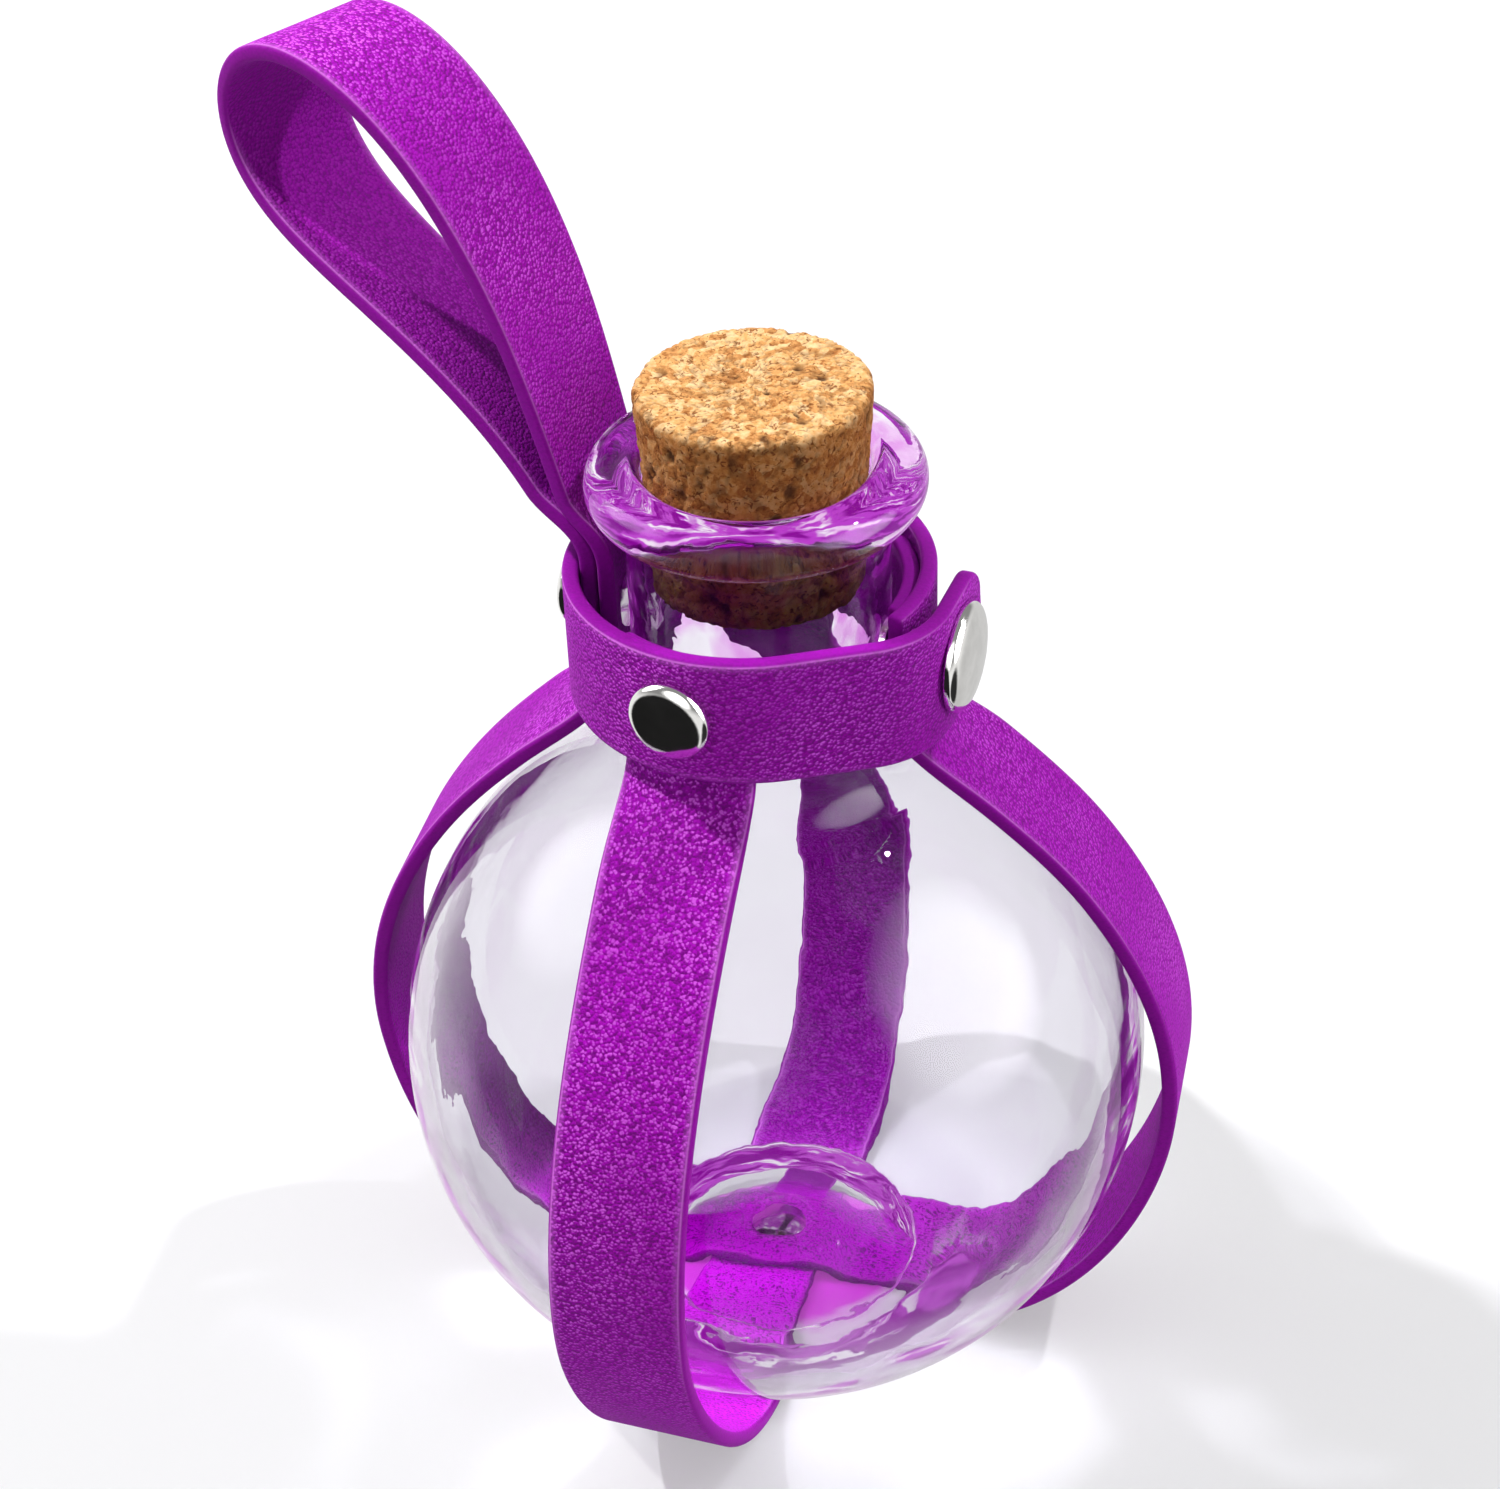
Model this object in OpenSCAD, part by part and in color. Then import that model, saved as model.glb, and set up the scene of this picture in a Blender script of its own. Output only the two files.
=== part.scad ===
// Round glass bottle with a tapered cork, carried in a harness of flat leather straps.
// Two straps cross under the bottle, a collar closed by a snap holds their ends round the neck,
// and the side strap runs on above the collar as a hanging loop.
// Millimetres, +Z up. The bottle's axis is the Z axis and the straps rest on z = 0.

/* [Bottle] */
// Outer radius of the ball
ball_r = 43; // [41:0.5:50]
// Thickness of the ball's wall
ball_wall = 2.5; // [2:0.1:4]
// Thickness of the glass over the top of the punt
base_wall = 3.2; // [2.5:0.1:6]
// Outer radius of the flat ring that the glass stands on
foot_r = 17.5; // [17:0.1:19]
// Width of the glass between the punt and the outside of that ring
foot_w = 0.58; // [0.4:0.02:0.9]
// Rounding between that ring and the ball
heel_round = 4; // [3:0.1:6]
// Height of the punt above the ring
punt_rise = 5.35; // [5.2:0.05:7]
// Rounding between the inner floor and the ball
floor_round = 10; // [6:0.5:14]
// Radius of the neck's bore
neck_bore_r = 12; // [11:0.1:12.4]
// Thickness of the neck's wall
neck_wall = 2; // [1.6:0.1:2.2]
// Height of the mouth above the top of the ball
neck_rise = 35; // [33:0.5:45]
// Rounding between the neck and the ball
shoulder_round = 6; // [4:0.5:7]
// How far the lip stands out from the neck
lip_reach = 3.9; // [3.2:0.1:4]
// Radius of the lip's round bead
lip_round = 2.7; // [2.2:0.1:3]
// Rounding of the mouth's inner edge
mouth_round = 1.3; // [0.8:0.1:1.5]

/* [Cork] */
// Length of the cork
cork_len = 22.6; // [18:0.1:28]
// How far the cork stands above the mouth
cork_out = 8.4; // [5:0.1:12]
// Growth of the cork's radius for each millimetre of height
cork_taper = 0.062; // [0.03:0.002:0.08]
// Clearance round the cork at the mouth
cork_gap = 0.12; // [0.05:0.01:0.2]
// Chamfer on the cork's rims
cork_chamfer = 0.7; // [0.3:0.1:1.5]

/* [Leather] */
// Thickness of the leather
leather_t = 1.8; // [1.4:0.1:2]
// Width of every strap and of the collar
leather_w = 15; // [13:0.5:16]
// Bevel on the straps' edges
edge_bevel = 0.4; // [0.2:0.05:0.6]
// Clearance between layers of leather
layer_gap = 0.1; // [0.04:0.01:0.2]
// Clearance between the crossed straps, and between them and the glass
cross_gap = 0.05; // [0.03:0.01:0.1]

/* [Collar] */
// Inner radius of the collar
collar_r = 18; // [18:0.1:20]
// How far the collar's axis lies to the left of the bottle's axis
collar_shift = 1; // [0:0.1:1.2]
// Height of the collar above the top of the ball
collar_rise = 7.3; // [6.5:0.1:10]
// Bearing at which the outer end leaves the collar's circle, from the front towards the right
tab_leave = 10; // [6:1:14]
// Length of the outer end's straight run, before it bends towards the snap
tab_run = 9; // [8:0.1:10]
// Length of the outer end beyond the snap
tab_end = 7.2; // [6.5:0.1:10]
// Rounding of the outer end's corners
tab_round = 3.5; // [1:0.1:5]
// Length of the inner end beyond the snap
lap_end = 6; // [5:0.1:9]

/* [Straps] */
// Bearing of the front and back strap's front arm, from the front towards the right
front_az = -19; // [-25:0.5:-12]
// Bearing of the side strap's right arm
side_az = 75.5; // [70:0.5:82]
// Sideways place of the front and back strap's arms
front_place = -3; // [-4:0.1:-1.5]
// Sideways place of the side strap's arms
side_place = 5; // [3:0.1:5.5]
// Sideways place of the side strap inside the collar
side_top_place = 2.6; // [2:0.1:3.5]
// Sideways place of the front and back strap under the bottle
front_low_place = -1.5; // [-2:0.1:0]
// Sideways place of the side strap under the bottle
side_low_place = 2.5; // [1:0.1:3]
// Room between the glass and the front arm at the ball's widest
front_room = 3.4; // [1:0.1:6]
// Room between the glass and the back arm
back_room = 2.7; // [1:0.1:6]
// Room between the glass and the right arm
right_room = 2.7; // [1:0.1:6]
// Room between the glass and the left arm
left_room = 4.4; // [1:0.1:6]

/* [Loop] */
// Bearing of the loop's plane
loop_az = -115; // [-120:1:-110]
// Length of the loop's axis, from the collar to its far end
loop_len = 62.5; // [55:0.5:70]
// Half of the loop's widest opening, on its own scale
loop_swell = 18.6; // [14:0.2:20]
// Power that gathers the loop's strands together near the collar
loop_gather = 3; // [2.6:0.1:3.4]
// Lean of the loop where it leaves the collar
loop_lean = 16.4; // [15:0.2:20]
// Lean of the loop at its far end
loop_droop = 62.8; // [50:0.2:70]
// Turn of the loop's far end about its own axis
loop_twist = -14; // [-20:1:0]
// Sideways swing of the loop's axis
loop_swing = -6.4; // [-10:0.1:0]
// Slant of the leather across the loop's far end
loop_slant = 20; // [0:1:25]

/* [Rivets and snap] */
// Radius of a rivet's outer head
rivet_r = 4.5; // [4:0.1:5]
// Height of a rivet's outer head
rivet_h = 2; // [1.6:0.1:2.4]
// Radius of a rivet's inner head
rivet_back_r = 3.6; // [3:0.1:3.8]
// Thickness of a rivet's inner head
rivet_back_t = 0.95; // [0.8:0.05:1]
// Outer radius of a rivet's tube
tube_r = 1.5; // [1.3:0.05:1.7]
// Radius of a rivet's pin
pin_r = 0.85; // [0.7:0.05:0.95]
// Clearance between a pin and its tube, and between a tube and its hole
pin_gap = 0.05; // [0.03:0.01:0.1]
// Bearing of the snap
snap_az = 68; // [66:0.5:72]
// Radius of the snap's cap
snap_r = 6; // [5.5:0.1:6.5]
// Height of the snap's cap
snap_h = 2.1; // [1.6:0.1:2.6]
// Room between the leathers for the snap's socket and stud
snap_room = 1.6; // [1.5:0.05:2.2]
// Radius of the snap's socket
socket_r = 4.6; // [4.2:0.1:5]
// Radius of the snap's stud head
stud_r = 2; // [1.8:0.05:2.2]
// Radius of the flange behind the stud
flange_r = 3; // [2.5:0.1:3.2]
// Thickness of that flange
flange_t = 0.65; // [0.5:0.05:0.7]
// Radius of the base rivet's lower head, which lies flush in the leather
base_head_r = 4; // [3.6:0.1:4.4]
// Thickness of that head
base_head_t = 1; // [0.8:0.05:1.1]

/* [Hidden] */

$fn = 96;
eps = 0.02;

half_t = leather_t / 2;
foot_z = leather_t + cross_gap;
ball_z = foot_z + heel_round + sqrt(pow(ball_r - heel_round, 2) - foot_r * foot_r);
neck_r = neck_bore_r + neck_wall;
ball_top = ball_z + ball_r;
mouth_z = ball_top + neck_rise;
lip_ring_r = neck_r + lip_reach - lip_round;
lip_z = mouth_z - lip_round;

collar_c = [-collar_shift, 0];
collar_z = ball_top + collar_rise;
collar_top = collar_z + leather_w;
collar_mid_z = collar_z + leather_w / 2;
collar_out = collar_r + leather_t;
collar_mid = collar_r + half_t;
// The straps lie inside the collar, and the loop's returning end lies inside the side strap
strap_mid = collar_r - layer_gap - half_t;
return_mid = strap_mid - leather_t - layer_gap / 2;
strap_face = strap_mid - half_t;
return_face = return_mid - half_t;
// Margins between the strap ends and the collar's edges, and the clearance over the base rivet
strap_margin = 1.5;
return_margin = 1;
strap_top = collar_top - strap_margin;
return_low = collar_z + return_margin;
base_tol = 0.05;

// Curve of an arm: it leaves the collar at arm_leave below its edge, is widest arm_drop below the
// ball's middle, and its pulls are shares of the ball's radius and a reach beyond the foot
arm_leave = 1;
arm_drop = 2.7;
arm_pull = 6;
arm_high = 0.623;
arm_low = 0.465;
arm_reach = 14.4;
// Height over which an arm unwraps from the collar's circle, and where it slides sideways
arm_unwrap = 11;
arm_slide = 0.59;

// Bearings run from the front (-Y) towards the right (+X)
function out_dir(az) = [sin(az), -cos(az)];
function side_dir(az) = [cos(az), sin(az)];
function at(p, z) = [p[0], p[1], z];
function mix(a, b, w) = a * (1 - w) + b * w;
function clamp(x) = min(max(x, 0), 1);
function smooth(x) = let(c = clamp(x)) c * c * (3 - 2 * c);
function unit(v) = v / norm(v);
function bezier(a, b, c, d, u) = a * pow(1 - u, 3) + b * 3 * u * pow(1 - u, 2)
    + c * 3 * u * u * (1 - u) + d * pow(u, 3);
function short_turn(a) = a - 360 * round(a / 360);
function flip(list) = [for (i = [len(list) - 1:-1:0]) list[i]];

// Distance along a bearing, from a point set sideways, to a circle about the collar's axis
function reach_to(az, place, r) = let(p = place * side_dir(az) - collar_c, b = p * out_dir(az))
    -b + sqrt(b * b - p * p + r * r);
// Bearing about the collar's axis of the point that reach_to finds
function collar_az(az, place, r) =
    let(p = place * side_dir(az) + reach_to(az, place, r) * out_dir(az) - collar_c) atan2(p[0], -p[1]);

front_mid_az = collar_az(front_az, front_place, strap_mid);
back_mid_az = collar_az(front_az + 180, -front_place, strap_mid);
right_mid_az = collar_az(side_az, side_top_place, strap_mid);
left_mid_az = collar_az(side_az + 180, -side_top_place, strap_mid);

// Point where the two straps cross under the bottle
cross_det = side_dir(front_az) * [side_dir(side_az)[1], -side_dir(side_az)[0]];
cross_xy = [
    (front_low_place * side_dir(side_az)[1] - side_low_place * side_dir(front_az)[1]) / cross_det,
    (side_low_place * side_dir(front_az)[0] - front_low_place * side_dir(side_az)[0]) / cross_det
];
cross_rise = leather_t + cross_gap;

// The collar's outer end: a straight run, a bend towards the snap's bearing, then straight again
bend_turn = snap_az - tab_leave;
tab_mid = collar_out + snap_room + half_t;
bend_r = (tab_mid - collar_mid * cos(bend_turn) - tab_run * sin(bend_turn)) / (1 - cos(bend_turn));
bend_c = collar_c + (collar_mid - bend_r) * out_dir(tab_leave) + tab_run * side_dir(tab_leave);
bend_to_snap = -(bend_c - collar_c) * side_dir(snap_az);

// Bottle, as the revolved difference of outlines made of circles and squares
function fillet_z(r_ball, r_neck, r_fillet) = ball_z + sqrt(pow(r_ball + r_fillet, 2) - pow(r_neck + r_fillet, 2));

module neck_outline(r_ball, r_neck, r_fillet, top) {
    fz = fillet_z(r_ball, r_neck, r_fillet);
    k = r_ball / (r_ball + r_fillet);
    tangent = [(r_neck + r_fillet) * k, ball_z + (fz - ball_z) * k];
    translate([0, fz - eps]) square([r_neck, top - fz + eps]);
    difference() {
        polygon([[0, tangent[1] - 3], [tangent[0] - 2, tangent[1] - 3], tangent, [r_neck + r_fillet, fz], [0, fz]]);
        translate([r_neck + r_fillet, fz]) circle(r_fillet);
    }
}

module right_half() {
    intersection() {
        children();
        translate([0, -10]) square([ball_r * 2, mouth_z * 2]);
    }
}

module lip_outline() {
    under_r = lip_ring_r - neck_r;
    translate([lip_ring_r, lip_z]) circle(lip_round);
    translate([neck_r - 1, lip_z]) square([lip_ring_r - neck_r + 1, lip_round]);
    difference() {
        translate([neck_r - 1, lip_z - lip_round - under_r]) square([under_r + 1, lip_round + under_r]);
        translate([neck_r + under_r, lip_z - lip_round - under_r]) circle(under_r);
    }
}

module outer_outline() {
    base_tangent = ball_z - (ball_z - foot_z - heel_round) * ball_r / (ball_r - heel_round);
    right_half() intersection() {
        translate([0, ball_z]) circle(ball_r);
        translate([0, base_tangent]) square([ball_r * 2, ball_r * 2]);
    }
    right_half() translate([foot_r, foot_z + heel_round]) circle(heel_round);
    translate([0, foot_z]) square([foot_r, heel_round]);
    neck_outline(ball_r, neck_r, shoulder_round, mouth_z - lip_round);
    lip_outline();
}

module cavity_outline() {
    r = ball_r - ball_wall;
    floor_z = foot_z + punt_rise + base_wall;
    round_z = floor_z + floor_round;
    round_r = sqrt(pow(r - floor_round, 2) - pow(ball_z - round_z, 2));
    tangent_z = ball_z - (ball_z - round_z) * r / (r - floor_round);
    right_half() intersection() {
        translate([0, ball_z]) circle(r);
        translate([0, tangent_z]) square([r * 2, r * 2]);
    }
    right_half() translate([round_r, round_z]) circle(floor_round);
    translate([0, floor_z]) square([round_r, floor_round]);
    neck_outline(r, neck_bore_r, shoulder_round + neck_wall, mouth_z + 1);
    difference() {
        translate([0, mouth_z - mouth_round]) square([neck_bore_r + mouth_round, mouth_round + 1]);
        translate([neck_bore_r + mouth_round, mouth_z - mouth_round]) circle(mouth_round);
    }
}

// The punt is a spherical hollow whose edge is rounded into the standing ring
module punt_outline() {
    edge_r = foot_r - foot_w;
    edge_round = 1;
    edge_z = foot_z + edge_round;
    // Radius of the hollow whose rounding of edge_round touches the ring at edge_r
    r = (edge_r * edge_r + pow(punt_rise - edge_round, 2) - edge_round * edge_round) / (2 * punt_rise);
    centre_z = foot_z + punt_rise - r;
    touch_z = edge_z - (edge_z - centre_z) * edge_round / (r + edge_round);
    right_half() translate([0, centre_z]) circle(r, $fn = 180);
    difference() {
        translate([0, foot_z - 1]) square([edge_r, touch_z - foot_z + 1]);
        translate([edge_r, edge_z]) circle(edge_round);
    }
}

module bottle() {
    color([0.86, 0.84, 0.88, 0.35]) rotate_extrude($fn = 180) difference() {
        outer_outline();
        cavity_outline();
        punt_outline();
    }
}

module cork() {
    mouth_r = neck_bore_r - cork_gap;
    top_r = mouth_r + cork_out * cork_taper;
    low_r = mouth_r - (cork_len - cork_out) * cork_taper;
    low_z = mouth_z + cork_out - cork_len;
    k = cork_chamfer;
    color([0.76, 0.6, 0.42]) rotate_extrude() polygon([
        [0, low_z], [low_r - k, low_z], [low_r + k * cork_taper, low_z + k],
        [top_r - k * cork_taper, low_z + cork_len - k], [top_r - k, low_z + cork_len], [0, low_z + cork_len]
    ]);
}

// A piece drawn along +Z is set on the collar's axis, pointing out at a bearing
module on_collar(az, z = collar_mid_z) {
    translate([collar_c[0], collar_c[1], z]) rotate([0, 0, az]) rotate([90, 0, 0]) children();
}

module collar_round(r) {
    translate([collar_c[0], collar_c[1], collar_z - 5]) cylinder(r = r, h = leather_w + 10, $fn = 180);
}

module hole(az, r) {
    on_collar(az) cylinder(r = r, h = collar_out * 2, $fn = 48);
}

// Middle line of the collar seen from above, as [point, outward direction] pairs
lap_az = snap_az - lap_end / collar_mid * 180 / PI;
collar_steps = 96;
bend_steps = 14;
collar_line = concat(
    [for (i = [0:collar_steps]) let(a = mix(lap_az, 360 + tab_leave, i / collar_steps))
        [collar_c + collar_mid * out_dir(a), out_dir(a)]],
    [for (i = [0:bend_steps]) let(a = mix(tab_leave, snap_az, i / bend_steps))
        [bend_c + bend_r * out_dir(a), out_dir(a)]],
    [[bend_c + bend_r * out_dir(snap_az) + (bend_to_snap + tab_end) * side_dir(snap_az), out_dir(snap_az)]]
);

module collar_plan() {
    polygon(concat([for (p = collar_line) p[0] + half_t * p[1]], [for (p = flip(collar_line)) p[0] - half_t * p[1]]));
}

// Cuts one corner of the outer end to a round, at the lower or the upper edge
module tab_corner(upper) {
    end_x = bend_to_snap + tab_end;
    translate([bend_c[0], bend_c[1], upper ? collar_top : collar_z]) rotate([0, 0, snap_az])
        mirror([0, 0, upper ? 1 : 0]) translate([end_x - tab_round, 0, tab_round]) rotate([90, 0, 0])
        translate([0, 0, bend_r - leather_t]) linear_extrude(leather_t * 2) difference() {
            translate([0, -tab_round - 1]) square([tab_round + 1, tab_round + 1]);
            circle(tab_round, $fn = 48);
        }
}

module collar() {
    color([0.55, 0.02, 0.6]) difference() {
        translate([0, 0, collar_z]) linear_extrude(leather_w) collar_plan();
        tab_corner(false);
        tab_corner(true);
        hole(front_mid_az, tube_r + pin_gap);
        hole(back_mid_az, tube_r + pin_gap);
        hole(left_mid_az, tube_r + pin_gap);
        hole(snap_az, tube_r + pin_gap);
    }
}

// One arm as stations [run, height, sideways place, wrap], from the collar down to the foot.
// Wrap is 1 where the strap's section follows the collar's circle and 0 where it is flat.
function arm(top_reach, room, place, top_place, low_place) =
    let(
        bend_z = collar_z - arm_leave,
        wide = ball_r + room + half_t,
        wide_z = ball_z - arm_drop,
        low_z = wide_z - ball_r * arm_low,
        slide_z = ball_z + ball_r * arm_slide,
        upper = [for (i = [0:13]) bezier([top_reach, bend_z], [top_reach, bend_z - arm_pull],
            [wide, ball_z + ball_r * arm_high], [wide, wide_z], i / 13)],
        lower = [for (i = [1:12]) bezier([wide, wide_z], [wide, low_z],
            [foot_r + arm_reach, half_t], [foot_r + 0.1, half_t], i / 12)],
        line = concat([[top_reach, strap_top], [top_reach, collar_mid_z]], upper, lower)
    )
    [for (p = line) [p[0], p[1],
        mix(mix(place, top_place, smooth((p[1] - slide_z) / (bend_z - slide_z))),
            low_place, smooth(1.1 - p[1] / (ball_z * 0.75))),
        smooth((p[1] - bend_z) / arm_unwrap + 1)]];

// A strap's rings are [centre, side direction, curve across the strap]
function arm_rings(stations, az, mid_az, turn) = [for (s = stations)
    let(bearing = az + s[3] * short_turn(mid_az - az))
    [at(s[2] * side_dir(az) * turn + s[0] * out_dir(az), s[1]), at(turn * side_dir(bearing), 0), s[3] / strap_mid]];

// The rings under the bottle, with the rise over the other strap where there is one
function low_rings(az, place, rise) =
    let(
        mid = cross_xy * out_dir(az),
        flat = leather_w / 2 + 0.1,
        slope = leather_t * 2,
        runs = rise > 0
            ? [foot_r - 2, for (i = [6:-1:0]) mid + flat + slope * i / 6,
               mid, for (i = [0:6]) mid - flat - slope * i / 6, 2 - foot_r]
            : [foot_r / 2, 0, -foot_r / 2]
    )
    [for (q = runs) [
        at(place * side_dir(az) + q * out_dir(az), half_t + rise * smooth(1 - (abs(q - mid) - flat) / slope)),
        at(side_dir(az), 0), 0]];

// Cross-section as [sideways, outward] pairs, with bevelled edges
section_steps = 6;
section = let(w = leather_w / 2, e = edge_bevel, h = half_t) concat(
    [for (i = [0:section_steps]) [mix(-w + e, w - e, i / section_steps), h]],
    [[w, h - e], [w, e - h]],
    [for (i = [0:section_steps]) [mix(w - e, e - w, i / section_steps), -h]],
    [[-w, e - h], [-w, h - e]]
);

function ring_points(rings, i) =
    let(
        last = len(rings) - 1,
        tangent = unit(rings[min(i + 1, last)][0] - rings[max(i - 1, 0)][0]),
        hint = rings[i][1],
        side = unit(hint - (hint * tangent) * tangent),
        outward = cross(tangent, side),
        k = rings[i][2]
    )
    [for (s = section) abs(k) < 0.0001
        ? rings[i][0] + s[0] * side + s[1] * outward
        : let(a = s[0] * k * 180 / PI)
          rings[i][0] + side * (sin(a) * (1 / k + s[1])) + outward * (s[1] * cos(a) - (1 - cos(a)) / k)];

module strap_solid(rings) {
    n = len(section);
    m = len(rings);
    points = [for (i = [0:m - 1]) each ring_points(rings, i)];
    sides = [for (i = [0:m - 2], j = [0:n - 1]) let(a = i * n + j, b = i * n + (j + 1) % n)
        each [[a, b, b + n], [a, b + n, a + n]]];
    half = section_steps + 2;
    // Each end is closed by strips between the outer and the inner face
    cap = [for (j = [0:half - 1]) let(a = j, b = j + 1, c = (n - 2 - j + n) % n, d = (n - 1 - j) % n)
        each [[a, d, b], [d, c, b]]];
    first = [for (f = cap) if (f[0] != f[1] && f[1] != f[2] && f[0] != f[2]) f];
    polyhedron(points, concat(sides, first,
        [for (f = first) [f[0] + (m - 1) * n, f[2] + (m - 1) * n, f[1] + (m - 1) * n]]), convexity = 8);
}

front_back_rings = concat(
    arm_rings(arm(reach_to(front_az, front_place, strap_mid), front_room, front_place, front_place,
        front_low_place), front_az, front_mid_az, 1),
    low_rings(front_az, front_low_place, 0),
    flip(arm_rings(arm(reach_to(front_az + 180, -front_place, strap_mid), back_room, front_place, front_place,
        front_low_place), front_az + 180, back_mid_az, -1))
);

loop_steps = 44;
// Height above the collar in which the strands turn from upright to their own lean
loop_settle = 7.5;

// The loop leaves the collar as the outer strand and comes back to it as the inner strand.
// Its axis bends from the lean at the collar to the droop at its far end along a circle.
// turn runs from 360 at the outer strand to 0 at the inner strand.
function loop_ring(turn) =
    let(
        w = (1 - cos(turn)) / 2,
        bend = loop_droop - loop_lean,
        lean = loop_lean + bend * w,
        radius = loop_len * 180 / PI / bend,
        away = at(out_dir(loop_az), 0),
        along = at(side_dir(loop_az), 0),
        up = [0, 0, 1],
        axis = at(collar_c, strap_top)
            + away * ((strap_mid + return_mid) / 2 + radius * (cos(loop_lean) - cos(lean)))
            + up * radius * (sin(lean) - sin(loop_lean))
            + along * loop_len * tan(loop_swing) * w * w,
        inward = up * sin(lean) - away * cos(lean),
        ahead = away * sin(lean) + up * cos(lean),
        turned = loop_twist * w,
        spread = loop_swell * sin(turn) * pow(sin(turn / 2), loop_gather)
            + (strap_mid - return_mid) / 2 * cos(turn / 2),
        place = axis + (inward * cos(turned) - along * sin(turned)) * spread,
        across = along * cos(turned) + inward * sin(turned) + ahead * tan(loop_slant * w),
        // Near the collar the strand stands upright on its own circle
        mid = turn > 180 ? strap_mid : return_mid,
        free = smooth((place[2] - collar_top + 0.2) / loop_settle),
        upright = at(collar_c + mid * out_dir(mix(left_mid_az, loop_az, free)), place[2])
    )
    [mix(upright, place, free),
     unit(mix(-at(side_dir(left_mid_az), 0), -across, free)),
     (turn > 180 ? 1 : -1) * (1 - free) / mid];

side_rings = concat(
    arm_rings(arm(reach_to(side_az, side_top_place, strap_mid), right_room, side_place, side_top_place,
        side_low_place), side_az, right_mid_az, 1),
    low_rings(side_az, side_low_place, cross_rise),
    flip(arm_rings([for (s = arm(reach_to(side_az + 180, -side_top_place, strap_mid), left_room, side_place,
        side_top_place, side_low_place)) if (s[1] < strap_top - 0.1) s], side_az + 180, left_mid_az, -1)),
    [for (i = [0:loop_steps]) loop_ring(359.9 - 359.8 * i / loop_steps)],
    [for (z = [collar_mid_z, return_low])
        [at(collar_c + return_mid * out_dir(left_mid_az), z), -at(side_dir(left_mid_az), 0), -1 / return_mid]]
);

module base_hole() {
    translate([cross_xy[0], cross_xy[1], -1]) cylinder(r = tube_r + pin_gap, h = 3 * leather_t + 2, $fn = 48);
}

module front_back_strap() {
    color([0.58, 0.02, 0.64]) difference() {
        strap_solid(front_back_rings);
        hole(front_mid_az, tube_r + pin_gap);
        hole(back_mid_az, tube_r + pin_gap);
        base_hole();
        translate([cross_xy[0], cross_xy[1], -1])
            cylinder(r = base_head_r + pin_gap, h = base_head_t + base_tol + 1, $fn = 48);
    }
}

module side_strap() {
    color([0.62, 0.02, 0.68]) difference() {
        strap_solid(side_rings);
        hole(left_mid_az, tube_r + pin_gap);
        hole(snap_az, pin_r + pin_gap);
        base_hole();
    }
}

// Domed head: a flat rim and a shallow crown, drawn upwards from z = 0
module dome(r, h) {
    rim = h * 0.35;
    crown = h - rim;
    crown_r = (r * r + crown * crown) / (2 * crown);
    rotate_extrude($fn = 60) intersection() {
        square([r, h]);
        union() {
            square([r, rim]);
            translate([0, h - crown_r]) circle(crown_r, $fn = 180);
        }
    }
}

// Outer part of a rivet: a domed head bedded on the collar, and a tube through the leather
module rivet_cap(az, inner_face) {
    tube_from = inner_face + pin_gap;
    color([0.8, 0.8, 0.83]) difference() {
        union() {
            difference() {
                on_collar(az) translate([0, 0, collar_out - 0.6]) dome(rivet_r, rivet_h + 0.6);
                collar_round(collar_out + pin_gap);
            }
            on_collar(az) translate([0, 0, tube_from])
                cylinder(r = tube_r, h = collar_out + rivet_h / 2 - tube_from, $fn = 48);
        }
        on_collar(az) translate([0, 0, tube_from - 1])
            cylinder(r = pin_r + pin_gap, h = collar_out - tube_from + 1.5, $fn = 48);
    }
}

// Inner part of a rivet: a thin head bedded in the strap's curve, and a pin up the tube
module rivet_post(az, inner_face) {
    color([0.74, 0.74, 0.77]) {
        intersection() {
            on_collar(az) translate([0, 0, inner_face - pin_gap]) mirror([0, 0, 1])
                dome(rivet_back_r, rivet_back_t);
            collar_round(inner_face - pin_gap);
        }
        on_collar(az) translate([0, 0, inner_face - rivet_back_t / 2])
            cylinder(r = pin_r, h = collar_out + 0.3 - inner_face + rivet_back_t / 2, $fn = 48);
    }
}

module front_rivet_cap() { rivet_cap(front_mid_az, strap_face); }
module front_rivet_post() { rivet_post(front_mid_az, strap_face); }
module back_rivet_cap() { rivet_cap(back_mid_az, strap_face); }
module back_rivet_post() { rivet_post(back_mid_az, strap_face); }
module loop_rivet_cap() { rivet_cap(left_mid_az, return_face); }
module loop_rivet_post() { rivet_post(left_mid_az, return_face); }

// The base rivet's lower head is flat and flush with the underside of the leather
module base_rivet_cap() {
    top = base_head_t + base_tol;
    color([0.74, 0.74, 0.77]) translate([cross_xy[0], cross_xy[1], 0]) difference() {
        union() {
            cylinder(r = base_head_r, h = base_head_t, $fn = 60);
            cylinder(r = tube_r, h = cross_rise + leather_t, $fn = 48);
        }
        translate([0, 0, top / 2]) cylinder(r = pin_r + pin_gap, h = cross_rise + 2 * leather_t, $fn = 48);
    }
}

module base_rivet_post() {
    head_z = cross_rise + leather_t + base_tol;
    color([0.8, 0.8, 0.83]) translate([cross_xy[0], cross_xy[1], 0]) {
        translate([0, 0, head_z]) dome(base_head_r - 0.2, 1.1);
        translate([0, 0, base_head_t]) cylinder(r = pin_r, h = head_z - base_head_t + 0.2, $fn = 48);
    }
}

tab_in = tab_mid - half_t;
tab_out = tab_mid + half_t;
stud_low = collar_out + pin_gap;

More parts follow.
